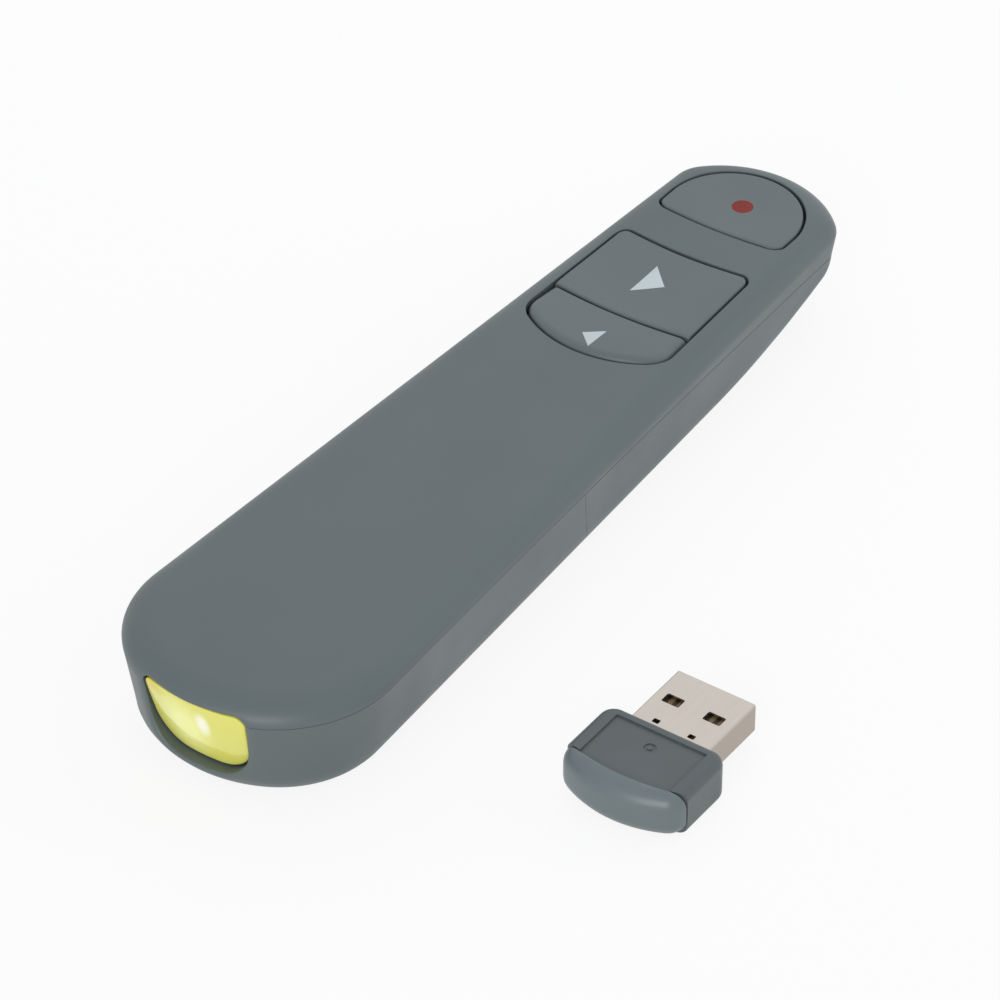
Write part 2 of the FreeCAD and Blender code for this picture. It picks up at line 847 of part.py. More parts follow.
def pair_outline(level, inset):
    return tapered_outline(level, inset, x_at(pair_tail), x_at(pair_tip),
                           pair_half_tail, pair_half_tip, pair_nose_radius,
                           pair_tail_corner, 0, pair_tip_corner)


def laser_outline(level, inset):
    return tapered_outline(level, inset, x_at(laser_tail), x_at(laser_tip),
                           laser_half_width, laser_half_width, 0, laser_corner,
                           laser_half_width, laser_half_width)


def divider_column(radius_change):
    """A great round column whose near side is the curved line between two buttons."""
    radius = divider_radius + radius_change
    return Part.makeCylinder(radius, 2 * case_height,
                             Vector(x_at(divider) + divider_radius, 0, 0))


def dished(cap, from_tail, reach, depth):
    """Hollow a cap's top with a large ball."""
    radius = (reach ** 2 + depth ** 2) / (2 * depth)
    return cap.cut(Part.makeSphere(radius, Vector(x_at(from_tail), 0, case_height - depth + radius)))


def top_rim(shape, level):
    """Edges of a flat top at a level."""
    rim = []
    for edge in shape.Edges:
        middle = edge.valueAt((edge.FirstParameter + edge.LastParameter) / 2)
        points = [middle] + [vertex.Point for vertex in edge.Vertexes]
        if all(abs(point.z - level) < tiny for point in points):
            rim.append(edge)
    return rim


cap_shoulder = cap_flange_low + cap_flange_thick
collar_low = cap_shoulder + cap_lift


def cap_blank(outline, top):
    """A button's upright part, standing in its opening."""
    return filled(outline(cap_flange_low, cap_gap), top - cap_flange_low)


def flange_under(outline):
    """The wider foot of a button, caught under the casing."""
    return filled(outline(cap_flange_low, -cap_flange), cap_flange_thick)


def collar(outline):
    """A lip round a button opening, hanging below the casing's top."""
    return filled(outline(collar_low, -collar_width), case_height).common(case_outer)


def cap_boss(from_tail):
    """The small round foot of a button over its switch."""
    return upright(boss_radius, boss_low, cap_shoulder, from_tail, 0)


def triangle_prism(from_tail, length, base_y, point_y, low):
    corners = [Vector(x_at(from_tail) - length / 2, base_y, low), Vector(x_at(from_tail) + length / 2, base_y, low),
               Vector(x_at(from_tail), point_y, low)]
    return Part.Face(Part.makePolygon(corners + corners[:1])).extrude(Vector(0, 0, overrun))


def marked(label, cap, prism):
    """Split a cap into the cap and the coloured mark let into its top."""
    plain_feature(label + "_button", cap.cut(prism))
    plain_feature(label + "_mark", cap.common(prism))


laser_cap = cap_blank(laser_outline, case_height)
laser_cap = laser_cap.makeFillet(cap_edge_round, top_rim(laser_cap, case_height))
laser_middle = (laser_tail + laser_tip) / 2
laser_cap = dished(laser_cap, laser_middle, laser_dish_reach, laser_dish)
laser_cap = laser_cap.fuse([flange_under(laser_outline), cap_boss(laser_switch_at)])
dot_low = case_height - laser_dish - mark_depth
marked("laser", laser_cap, upright(dot_radius, dot_low, case_height, dot_at, 0))

next_side = divider_column(-divider_gap / 2)
back_side = divider_column(divider_gap / 2)
next_cap = cap_blank(pair_outline, case_height).common(next_side)
next_cap = next_cap.makeFillet(cap_edge_round, top_rim(next_cap, case_height))
next_cap = dished(next_cap, (divider + pair_tip) / 2, pair_half_tip, next_dish)
next_cap = next_cap.fuse([flange_under(pair_outline).common(next_side), cap_boss(next_switch_at)])
marked("next", next_cap, triangle_prism(next_mark_at, next_mark_length, next_mark_base,
                                        next_mark_point, case_height - next_dish - mark_depth))

back_top = case_height + back_rise
back_cap = cap_blank(pair_outline, back_top).cut(back_side)
back_fall = (back_rise + back_drop) / (divider - pair_tail)
slope_tail = x_at(pair_tail - overrun)
slope_tip = x_at(divider + overrun)
slope_high = back_top + overrun * back_fall
slope_low = case_height - back_drop - overrun * back_fall
back_cap = back_cap.cut(side_view_block([
    side_line(slope_tail, slope_high, slope_tip, slope_low),
    side_line(slope_tip, slope_low, slope_tip, slope_high + overrun),
    side_line(slope_tip, slope_high + overrun, slope_tail, slope_high + overrun),
    side_line(slope_tail, slope_high + overrun, slope_tail, slope_high)], case_half_tail))


def on_slope(point):
    """True on the back button's sloping top."""
    return abs(point.z - (slope_high - (point.x - slope_tail) * back_fall)) < tiny


sloped_rim = []
for edge in back_cap.Edges:
    edge_points = [edge.valueAt(edge.FirstParameter), edge.valueAt((edge.FirstParameter + edge.LastParameter) / 2),
                   edge.valueAt(edge.LastParameter)]
    along_divider = all(abs(math.hypot(point.x - x_at(divider) - divider_radius, point.y)
                            - divider_radius - divider_gap / 2) < tiny for point in edge_points)
    if all(on_slope(point) for point in edge_points) and not along_divider:
        sloped_rim.append(edge)
back_cap = back_cap.makeFillet(back_edge_round, sloped_rim)
back_cap = back_cap.fuse([flange_under(pair_outline).cut(back_side), cap_boss(back_switch_at)])
back_mark_low = case_height - mark_depth
marked("back", back_cap, triangle_prism(back_mark_at, back_mark_length, back_mark_base,
                                        back_mark_point, back_mark_low))


# Screw posts, tip window block and slot sizes shared by the two shells


post_places = [(rear_post_at, rear_post_aside), (rear_post_at, -rear_post_aside),
               (front_post_at, front_post_aside), (front_post_at, -front_post_aside)]
board_top = board_low + board_thick

tip_frame = slab(tip_flat_at, case_length + overrun, 0,
                 tip_half_width + tip_frame_side, 0, case_height).common(case_outer)
tip_notch = slab(tip_flat_at, case_length + overrun, 0, tip_half_width,
                 tip_low, tip_high)
window_pocket = slab(tip_flat_at - shade_thick - 2 * shade_gap, tip_flat_at, 0,
                     shade_half_width + shade_gap, shade_low - shade_gap,
                     shade_high + shade_gap)


# Top shell: skin, bezel top, button collars, screw posts

upper_half = case_outer.cut(parting_block(0))
top_extras = [nose_block.common(upper_half), tip_frame.common(upper_half),
              collar(laser_outline), collar(pair_outline)]
for from_tail, aside in post_places:
    top_extras.append(upright(post_radius, board_top + seat, case_height, from_tail, aside)
                      .common(case_outer))
for from_tail in (tray_screw_near, tray_screw_far):
    top_extras.append(upright(tray_post_radius, tray_post_low, case_height, from_tail, 0)
                      .common(case_outer))
top_cuts = [filled(laser_outline(0, 0), 2 * case_height), filled(pair_outline(0, 0), 2 * case_height),
            tail_opening, tip_notch, window_pocket]
for from_tail, aside in post_places:
    top_cuts.append(upright(pilot_radius, 0, pilot_top, from_tail, aside))
for from_tail in (tray_screw_near, tray_screw_far):
    top_cuts.append(upright(pilot_radius, 0, case_height - wall, from_tail, 0))
plain_feature("top_shell", upper_skin.fuse(top_extras).cut(top_cuts).removeSplitter())


# Bottom shell: the front part of the underside, with screw feet and the switch slot

lower_half = case_outer.common(parting_block(seam_gap))
bottom_extras = [tip_frame.common(lower_half)]
for from_tail, aside in post_places:
    bottom_extras.append(upright(foot_radius, 0, board_low - seat, from_tail, aside)
                         .common(case_outer))
slot_half = stem_length / 2 + slot_play
slot_floor = slab(slot_at - slot_recess_length / 2 - wall,
                  slot_at + slot_recess_length / 2 + wall, 0,
                  slot_recess_width / 2 + wall, 0, slot_recess_depth + wall)
bottom_extras.append(slot_floor)
bottom_cuts = [door_block(seam_gap), tip_notch, window_pocket,
               slab(slot_at - slot_recess_length / 2, slot_at + slot_recess_length / 2, 0,
                    slot_recess_width / 2, -overrun, slot_recess_depth),
               slab(slot_at - slot_travel / 2 - slot_half, slot_at + slot_travel / 2 + slot_half,
                    0, stem_width / 2 + slot_play, -overrun, board_low)]
for from_tail, aside in post_places:
    bottom_cuts.append(upright(head_well_radius, -overrun, head_well_depth, from_tail, aside))
    bottom_cuts.append(upright(screw_hole, -overrun, board_low, from_tail, aside))
plain_feature("bottom_shell", lower_skin.fuse(bottom_extras).cut(bottom_cuts).removeSplitter())


# Battery door: the tail part of the underside, with the bezel's lower part

door_solid = lower_skin.fuse(nose_block.common(lower_half)).common(door_block(0)).cut(tail_opening)
plain_feature("battery_door", door_solid.removeSplitter())


# Battery tray: a long open-bottomed box under the tail half of the top shell


tray_inner_tail = tray_tail + tray_wall
tray_inner_tip = tray_tip - tray_wall
tray_ceiling = tray_top - tray_roof
tray = slab(tray_tail, tray_tip, 0, tray_half_width, tray_low, tray_top)
tray = tray.cut(slab(tray_inner_tail, tray_inner_tip, 0, tray_half_width - tray_wall,
                     -overrun, tray_ceiling))
rib = slab(tray_inner_tail, tray_inner_tip, 0, rib_half, cell_level + cell_radius / 2, tray_top)
tray = tray.fuse(rib)
for from_tail in (tray_screw_near, tray_screw_far):
    tray = tray.cut(upright(screw_hole, 0, case_height, from_tail, 0))
    tray = tray.cut(upright(head_well_radius, 0, tray_ceiling, from_tail, 0))
tray = tray.common(case_hollow)
plain_feature("battery_tray", tray.removeSplitter())


# Cells and their contacts, the second cell turned end for end

def cell(label, aside, turned):
    """A small round cell with its raised end; turned puts the raised end at the tail."""
    body = turned_body(label, [("0", "0"), ("cell_body + nub_length", "0"), ("cell_body + nub_length", "nub_radius"),
                               ("cell_body", "nub_radius"), ("cell_body", "cell_radius"), ("0", "cell_radius")],
                       "0", "0", "0")
    if turned:
        body.Placement.Rotation = FreeCAD.Rotation(Vector(0, 0, 1), 180)
        start = "tray_tail + tray_wall + plate_thick + contact_gap + cell_body + nub_length - origin_from_tail"
    else:
        start = "tray_tip - tray_wall - plate_thick - contact_gap - cell_body - nub_length - origin_from_tail"
    place(body, start, aside, "cell_level")
    finish(body, label)


cell("battery_cell_1", "cell_aside", False)
cell("battery_cell_2", "-cell_aside", True)

contact_plates = []
for end, start in (("tail", "tray_tail + tray_wall - origin_from_tail"),
                   ("tip", "tray_tip - tray_wall - plate_thick - origin_from_tail")):
    for side in (-1, 1):
        contact_plates.append(box("plate_%s_%s" % (end, "left" if side > 0 else "right"),
                                  "plate_thick", "2 * plate_half_width", "plate_height",
                                  start, "%d * cell_aside - plate_half_width" % side,
                                  "cell_level - plate_height / 2"))
for plate in contact_plates:
    finish(plate, plate.Name)

quarter_turns = 8


def contact_spring(label, from_tail, aside, turned):
    """A tapered coil of quarter-turn arcs, pressed between a plate and the flat end of a cell."""
    climb = spring_room - 2 * spring_wire

    def spot(step):
        share = step / (2 * quarter_turns)
        radius = spring_wide + (spring_narrow - spring_wide) * share
        angle = math.pi / 4 * step
        return Vector(spring_wire + climb * share, radius * math.cos(angle), radius * math.sin(angle))

    arcs = [Part.Arc(spot(2 * turn), spot(2 * turn + 1), spot(2 * turn + 2)).toShape()
            for turn in range(quarter_turns)]
    ring = Part.Wire(Part.makeCircle(spring_wire, spot(0), arcs[0].tangentAt(arcs[0].FirstParameter)))
    coil = Part.Wire(arcs).makePipeShell([ring], True, False)
    if turned:
        coil.rotate(Vector(0, 0, 0), Vector(0, 0, 1), 180)
    coil.translate(Vector(x_at(from_tail), aside, cell_level))
    plain_feature(label, coil)


contact_spring("battery_spring_1", tray_inner_tail + plate_thick, cell_aside, False)
contact_spring("battery_spring_2", tray_inner_tip - plate_thick, -cell_aside, True)


# Screws: four through the underside and board, two through the tray's roof



def screw(label, from_tail, aside, head_low, shank):
    body = turned_body(label, [("drive_depth", "0"), ("screw_head_height + " + shank, "0"),
                               ("screw_head_height + " + shank, "shank_radius"),
                               ("screw_head_height", "shank_radius"), ("screw_head_height", "screw_head_radius"),
                               ("0", "screw_head_radius"), ("0", "drive_radius"), ("drive_depth", "drive_radius")],
                       from_tail + " - origin_from_tail", aside, head_low, along="Z")
    finish(body, label)


for index, (along, aside) in enumerate([("rear_post_at", "rear_post_aside"), ("rear_post_at", "-rear_post_aside"),
                                        ("front_post_at", "front_post_aside"),
                                        ("front_post_at", "-front_post_aside")]):
    screw("case_screw_%d" % (index + 1), along, aside, "head_well_depth - screw_head_height", "case_shank")
for index, along in enumerate(("tray_screw_near", "tray_screw_far")):
    screw("tray_screw_%d" % (index + 1), along, "0", "tray_top - tray_roof - screw_head_height", "tray_shank")


# Main board, its chips, and the switches under the buttons


board_blank = padded_body("board_blank", [("board_tail - origin_from_tail", "-board_half_tail"),
                                          ("board_tip - origin_from_tail", "-board_half_tip"),
                                          ("board_tip - origin_from_tail", "board_half_tip"),
                                          ("board_tail - origin_from_tail", "board_half_tail")],
                          "board_thick", z="board_low")
board_holes = []
for index, (along, aside) in enumerate([("rear_post_at", "rear_post_aside"), ("rear_post_at", "-rear_post_aside"),
                                        ("front_post_at", "front_post_aside"),
                                        ("front_post_at", "-front_post_aside")]):
    board_holes.append(cylinder("board_hole_%d" % (index + 1), "screw_hole", "3 * board_thick",
                                along + " - origin_from_tail", aside, "board_low - board_thick"))
finish(cut("main_board", board_blank, fuse("board_holes", board_holes)), "main_board")

for name, at in (("laser", "laser_switch_at"), ("next", "next_switch_at"), ("back", "back_switch_at")):
    block = box(name + "_switch_block", "switch_side", "switch_side", "switch_height",
                at + " - switch_side / 2 - origin_from_tail", "-switch_side / 2", "board_low + board_thick")
    bore = cylinder(name + "_switch_bore", "plunger_radius + plunger_play", "switch_height",
                    at + " - origin_from_tail", "0", "switch_bore_low")
    finish(cut(name + "_switch", block, bore), name + "_switch")
    finish(cylinder(name + "_plunger", "plunger_radius", "boss_low - plunger_low",
                    at + " - origin_from_tail", "0", "plunger_low"), name + "_plunger")

finish(box("radio_shield", "shield_length", "shield_width", "shield_height",
           "shield_at - shield_length / 2 - origin_from_tail", "-shield_width / 2", "board_low + board_thick"),
       "radio_shield")
finish(box("processor_chip", "chip_side", "chip_side", "chip_height",
           "chip_at - chip_side / 2 - origin_from_tail", "chip_aside - chip_side / 2", "board_low + board_thick"),
       "processor_chip")
finish(box("crystal_can", "crystal_length", "crystal_width", "crystal_height",
           "chip_at - crystal_length / 2 - origin_from_tail", "-chip_aside - crystal_width / 2",
           "board_low + board_thick"), "crystal_can")

finish(box("power_switch_body", "slider_length", "slider_width", "slider_height",
           "slot_at - slider_length / 2 - origin_from_tail", "-slider_width / 2", "board_low - slider_height"),
       "power_switch_body")
knob_start = "slot_at - slot_travel / 2 - origin_from_tail"
knob_plate = box("knob_plate", "knob_length", "knob_width", "knob_thick",
                 knob_start + " - knob_length / 2", "-knob_width / 2", "knob_low")
knob_stem = box("knob_stem", "stem_length", "stem_width", "board_low - slider_height - seat - knob_low",
                knob_start + " - stem_length / 2", "-stem_width / 2", "knob_low")
finish(fuse("power_switch_knob", [knob_plate, knob_stem]), "power_switch_knob")


# Laser: barrel in a holder, diode behind, lens in front, dark window in the tip


finish(turned_body("laser_barrel", [("0", "barrel_bore"), ("barrel_length - barrel_lip", "barrel_bore"),
                                    ("barrel_length - barrel_lip", "beam_radius"), ("barrel_length", "beam_radius"),
                                    ("barrel_length", "barrel_radius"), ("0", "barrel_radius")],
                   "barrel_tail - origin_from_tail", "0", "beam_level"), "laser_barrel")
finish(turned_body("laser_diode", [("0", "0"), ("diode_flange + diode_can", "0"),
                                   ("diode_flange + diode_can", "diode_can_radius"),
                                   ("diode_flange", "diode_can_radius"), ("diode_flange", "barrel_bore"),
                                   ("0", "barrel_bore")],
                   "barrel_tail - origin_from_tail", "0", "beam_level"), "laser_diode")
finish(turned_body("laser_lens", [("0", "0"), ("lens_thick", "0"), ("lens_thick - lens_bulge", "barrel_bore"),
                                  ("0", "barrel_bore")],
                   "barrel_tail + barrel_length - barrel_lip - lens_thick - origin_from_tail", "0", "beam_level"),
       "laser_lens")
holder = slab(holder_tail, holder_tip, 0, holder_half_width, 0, holder_high).common(case_hollow)
holder = holder.cut(Part.makeCylinder(barrel_radius + barrel_fit, case_length,
                                      Vector(x_at(0), 0, beam_level), Vector(1, 0, 0)))
plain_feature("laser_holder", holder)
finish(box("laser_window", "shade_thick", "2 * shade_half_width", "shade_high - shade_low",
           "tip_flat_at - shade_gap - shade_thick - origin_from_tail", "-shade_half_width", "shade_low"),
       "laser_window")


# Status light on its own small board behind the tail window


finish(box("tail_light_board", "light_board_thick", "2 * light_board_half", "light_board_height",
           "tray_tail - light_board_thick - origin_from_tail", "-light_board_half", "light_board_low"),
       "tail_light_board")
finish(box("status_light", "light_length", "light_width", "light_height",
           "tray_tail - light_board_thick - light_length - origin_from_tail", "-light_width / 2",
           "light_level - light_height / 2"), "status_light")


# Receiver: housing, end cap, plug shell, tongue, contacts and board



def receiver_outline(inset):
    """Plan outline of the receiver's body, drawn inwards by inset."""
    wire = tapered_outline(0, inset, x_at(receiver_tail), x_at(receiver_tip),
                           receiver_half_width, receiver_half_width, receiver_nose,
                           receiver_tail_corner, 0, receiver_tip_corner)
    wire.translate(Vector(0, receiver_aside, 0))
    return wire


def groove_column(change):
    return Part.makeCylinder(groove_radius + change, 3 * receiver_height,
                             Vector(x_at(groove_at) + groove_radius, receiver_aside,
                                    -receiver_height))


def receiver_slab(from_tail, to_tail, aside, half_width, low, high):
    return slab(from_tail, to_tail, receiver_aside + aside, half_width, low, high)


def flat_rims(shape):
    """Edges around the top and the bottom of a shape."""
    return top_rim(shape, shape.BoundBox.ZMax) + top_rim(shape, shape.BoundBox.ZMin)


housing = filled(receiver_outline(0), receiver_height)
housing = housing.makeFillet(receiver_round, flat_rims(housing))
housing = housing.common(groove_column(0))
hollow = filled(receiver_outline(receiver_wall), receiver_height - 2 * receiver_wall)
hollow.translate(Vector(0, 0, receiver_wall))
housing = housing.cut(hollow.common(groove_column(-receiver_wall)))
panel = receiver_slab(panel_tail, panel_tip, 0, panel_half_width,
                      receiver_height - panel_depth, receiver_height + overrun)
panel = panel.makeFillet(panel_corner, [edge for edge in panel.Edges
                                             if abs(edge.tangentAt(edge.FirstParameter).z) > 1 - tiny])
dimple_ball = (dimple_radius ** 2 + panel_depth ** 2) / (2 * panel_depth)
dimple = Part.makeSphere(dimple_ball, Vector(x_at(dimple_at), receiver_aside,
                                             receiver_height - 2 * panel_depth + dimple_ball))
plug_low = plug_level - plug_height / 2
plug_high = plug_level + plug_height / 2
plug_hole = receiver_slab(plug_root, plug_tip, 0, plug_half_width, plug_low, plug_high)
housing = housing.cut([panel, dimple, plug_hole])
plain_feature("receiver_housing", housing)

end_cap = filled(receiver_outline(-cap_extra_width), cap_height)
end_cap = end_cap.makeFillet(end_cap_round, flat_rims(end_cap))
end_cap = end_cap.cut(groove_column(groove_gap))
key = receiver_slab(groove_at - receiver_wall, groove_at + receiver_wall, 0,
                    plug_half_width, receiver_wall, receiver_height - receiver_wall)
plain_feature("receiver_end_cap", end_cap.fuse(key.cut(groove_column(0))))


def plug_shape(inset, start, end):
    """A rounded block along the plug."""
    shape = receiver_slab(start, end, 0, plug_half_width - inset, plug_low + inset, plug_high - inset)
    return shape.makeFillet(max(plug_round - inset, plug_wall / 2), [
        edge for edge in shape.Edges if abs(edge.tangentAt(edge.FirstParameter).x) > 1 - tiny])


plug = plug_shape(0, plug_root, plug_tip)
plug = plug.cut(plug_shape(plug_wall, plug_root + plug_wall, plug_tip + overrun))
for side in (-1, 1):
    plug = plug.cut(receiver_slab(hatch_at - hatch_length / 2, hatch_at + hatch_length / 2,
                                  side * hatch_aside, hatch_width / 2, 0, receiver_height))
    plug = plug.cut(receiver_slab(notch_at - notch_length / 2, notch_at + notch_length / 2,
                                  side * notch_aside, notch_width / 2, plug_level,
                                  receiver_height))
plain_feature("usb_shell", plug)

tongue_start = plug_root + plug_wall
finish(box("usb_tongue", "tongue_tip - plug_root - plug_wall", "2 * tongue_half_width", "tongue_thick",
           "plug_root + plug_wall - origin_from_tail", "receiver_aside - tongue_half_width",
           "tongue_high - tongue_thick"), "usb_tongue")
contact_bars = []
for index in range(4):
    contact_bars.append(box("contact_bar_%d" % (index + 1), "tongue_tip - contact_tail - contact_width",
                            "contact_width", "contact_thick", "contact_tail - origin_from_tail",
                            "receiver_aside + %.1f * contact_pitch - contact_width / 2" % (index - 1.5),
                            "tongue_high - tongue_thick - contact_thick"))
for bar in contact_bars:
    finish(bar, bar.Name.replace("contact_bar", "usb_contact"))
finish(box("receiver_board", "plug_root - inner_board_tail - 2 * seat", "2 * inner_board_half",
           "inner_board_thick", "inner_board_tail - origin_from_tail", "receiver_aside - inner_board_half",
           "receiver_wall + seat"), "receiver_board")
finish(box("receiver_chip", "chip_long", "chip_wide", "chip_high",
           "dimple_at - chip_long / 2 - origin_from_tail", "receiver_aside - chip_wide / 2",
           "receiver_wall + seat + inner_board_thick"), "receiver_chip")


# Check every object, then write one file per sub-part

doc.recompute()
for item in doc.Objects:
    if "Invalid" in item.State or "Error" in item.State:
        raise RuntimeError("%s did not build: %s" % (item.Name, item.State))
for item in finished:
    if item.Shape.isNull() or not item.Shape.isValid():
        raise RuntimeError("%s has no sound shape" % item.Label)
for item in finished:
    item.Shape.exportStep("parts/%s.step" % item.Label)
print("sub-parts written:", len(finished))
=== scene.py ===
import json
from math import atan2, cos, hypot, pi, radians, sin, sqrt, tan
import bmesh
import bpy
from mathutils import Matrix, Vector
from mathutils.bvhtree import BVHTree


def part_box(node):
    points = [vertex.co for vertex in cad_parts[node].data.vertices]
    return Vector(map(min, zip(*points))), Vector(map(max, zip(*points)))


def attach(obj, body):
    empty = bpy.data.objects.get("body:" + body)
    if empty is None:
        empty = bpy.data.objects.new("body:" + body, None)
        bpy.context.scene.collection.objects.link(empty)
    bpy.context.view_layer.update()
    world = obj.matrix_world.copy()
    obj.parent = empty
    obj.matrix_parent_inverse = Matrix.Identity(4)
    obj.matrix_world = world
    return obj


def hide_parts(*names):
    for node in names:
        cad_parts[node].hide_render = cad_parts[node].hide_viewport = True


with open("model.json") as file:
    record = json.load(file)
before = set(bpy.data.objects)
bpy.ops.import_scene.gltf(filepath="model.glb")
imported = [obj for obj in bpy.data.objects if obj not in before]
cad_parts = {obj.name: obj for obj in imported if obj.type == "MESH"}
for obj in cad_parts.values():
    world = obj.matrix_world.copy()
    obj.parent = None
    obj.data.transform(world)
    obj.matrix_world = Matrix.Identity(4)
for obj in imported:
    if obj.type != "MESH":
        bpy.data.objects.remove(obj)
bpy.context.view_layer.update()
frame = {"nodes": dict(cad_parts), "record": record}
mm = 0.001
tail = -72.0  # where the tail end lies; lengths below are counted from it


# Small helpers for meshes

def at(x, y, z):
    return Vector(((x + tail) * mm, y * mm, z * mm))


def loft(rings):  # closed rings of equal count, each grown from the one before
    bm = bmesh.new()
    loop = bmesh.ops.create_circle(bm, segments=len(rings[0]), radius=mm)["verts"]
    for vert, spot in zip(loop, rings[0]):
        vert.co = spot
    for ring in rings[1:]:
        edges = [bm.edges.get((loop[i - 1], loop[i])) for i in range(len(loop))]
        grown = bmesh.ops.extrude_edge_only(bm, edges=edges)["geom"]
        older = set(loop)
        follower = {}
        for vert in grown:
            if isinstance(vert, bmesh.types.BMVert):
                for edge in vert.link_edges:
                    if edge.other_vert(vert) in older:
                        follower[edge.other_vert(vert)] = vert
        loop = [follower[vert] for vert in loop]
        for vert, spot in zip(loop, ring):
            vert.co = spot
    closeUp(bm)
    return bm


def closeUp(bm):
    bmesh.ops.remove_doubles(bm, verts=bm.verts, dist=0.0005 * mm)
    bmesh.ops.dissolve_degenerate(bm, edges=bm.edges, dist=0.0002 * mm)
    openEdges = [edge for edge in bm.edges if edge.is_boundary]
    if openEdges:
        bmesh.ops.holes_fill(bm, edges=openEdges, sides=0)
    bmesh.ops.recalc_face_normals(bm, faces=bm.faces)


def piece(name, bm, material=None, sharpAngle=40):
    mesh = bpy.data.meshes.new(name)
    bmesh.ops.recalc_face_normals(bm, faces=bm.faces)
    bm.to_mesh(mesh)
    bm.free()
    made = bpy.data.objects.new(name, mesh)
    bpy.context.scene.collection.objects.link(made)
    if material:
        mesh.materials.append(material)
    smoothed(made, sharpAngle)
    return made


def smoothed(made, sharpAngle):
    made.data.polygons.foreach_set("use_smooth", [True] * len(made.data.polygons))
    made.data.set_sharp_from_angle(angle=radians(sharpAngle))


def settle(made):  # keeps what the modifiers made and drops them
    graph = bpy.context.evaluated_depsgraph_get()
    mesh = bpy.data.meshes.new_from_object(made.evaluated_get(graph))
    made.modifiers.clear()
    old = made.data
    made.data = mesh
    bpy.data.meshes.remove(old)
    mesh.name = made.name


def carve(made, tools, kind="DIFFERENCE", keep=False):
    for tool in tools:
        step = made.modifiers.new("carve", "BOOLEAN")
        step.operation = kind
        step.solver = "EXACT"
        step.object = tool
    settle(made)
    if not keep:
        discard(tools)


def discard(tools):
    for tool in tools:
        mesh = tool.data
        bpy.data.objects.remove(tool)
        bpy.data.meshes.remove(mesh)


def evenOut(made, sharpAngle=40):  # wide faces keep their own direction beside small round edges
    clean = bmesh.new()
    clean.from_mesh(made.data)
    bmesh.ops.remove_doubles(clean, verts=clean.verts, dist=0.0005 * mm)
    bmesh.ops.dissolve_degenerate(clean, edges=clean.edges, dist=0.0002 * mm)
    bmesh.ops.recalc_face_normals(clean, faces=clean.faces)
    clean.to_mesh(made.data)
    clean.free()
    smoothed(made, sharpAngle)
    step = made.modifiers.new("even", "WEIGHTED_NORMAL")
    step.keep_sharp = True
    step.weight = 60


def blockTool(low, high, rounding=0.0, upright=False):
    bm = bmesh.new()
    size = high - low
    place = Matrix.Translation((low + high) / 2) @ Matrix.Diagonal((*size, 1))
    bmesh.ops.create_cube(bm, size=1, matrix=place)
    if rounding:
        edges = bm.edges[:]
        if upright:
            edges = [e for e in edges if abs(e.verts[0].co.z - e.verts[1].co.z) > size.z / 2]
        bmesh.ops.bevel(bm, geom=edges, offset=rounding, offset_type="OFFSET", segments=6, profile=0.5,
                        affect="EDGES", material=-1, clamp_overlap=True)
    return piece("tool", bm)


def roundTool(radius, low, high, x, y, segments=96):
    bm = bmesh.new()
    bmesh.ops.create_cone(bm, cap_ends=True, segments=segments, radius1=radius * mm, radius2=radius * mm,
                          depth=(high - low) * mm, matrix=Matrix.Translation(at(x, y, (low + high) / 2)))
    return piece("tool", bm)


# Outlines: tapered shapes as spots (place, move per inset, move per inset from the divider, limit)

leastCorner = 0.25  # what an inset leaves of a rounded corner
noLimit = 99.0


def spotOn(anchor, radius, way):
    limit = radius - leastCorner if radius > 0 else noLimit
    return anchor + radius * way, way, Vector((0, 0)), limit


def outline(tailX, tipX, halfTail, halfTip, tailNose, tailCorner, tipNose, tipCorner, steps):
    slope = atan2(halfTail - halfTip, tipX - tailX)
    side = Vector((sin(slope), cos(slope)))
    reach = side.x * tailX + side.y * halfTail
    noseSteps, cornerSteps, sideSteps, tipCornerSteps, tipNoseSteps = steps
    sideAngle = pi / 2 - slope
    tailEnd = endOf(tailX, 1, tailNose, tailCorner, side, reach)
    tipEnd = endOf(tipX, -1, tipNose, tipCorner, side, reach)
    spots = endSpots(tailEnd, pi, sideAngle, noseSteps, cornerSteps)
    after = endSpots(tipEnd, 0.0, sideAngle, tipNoseSteps, tipCornerSteps)
    after.reverse()
    start, stop = spots[-1][0], after[0][0]
    for step in range(1, sideSteps):
        spots.append(spotOn(start.lerp(stop, step / sideSteps), 0.0, side))
    return mirrored(spots + after)


def mirrored(spots):
    def flip(v):
        return Vector((v.x, -v.y))

    return spots + [(flip(place), flip(move), flip(other), limit)
                    for place, move, other, limit in reversed(spots[1:-1])]


def endOf(endX, way, nose, corner, side, reach):  # centres of an end's arcs; way points into the shape
    if not nose:
        x = endX + way * corner
        return endX, None, Vector((x, (reach - corner - side.x * x) / side.y)), corner, None
    middle = Vector((endX + way * nose, 0))
    spare = nose - corner
    if spare < 1e-6:
        return endX, middle, middle, corner, None
    depth = side.x * middle.x - (reach - corner)
    foot = middle - depth * side
    along = sqrt(spare ** 2 - depth ** 2)
    centre = Vector((foot.x - way * along * side.y, foot.y + way * along * side.x))
    return endX, middle, centre, corner, (nose, atan2((centre - middle).y, (centre - middle).x))


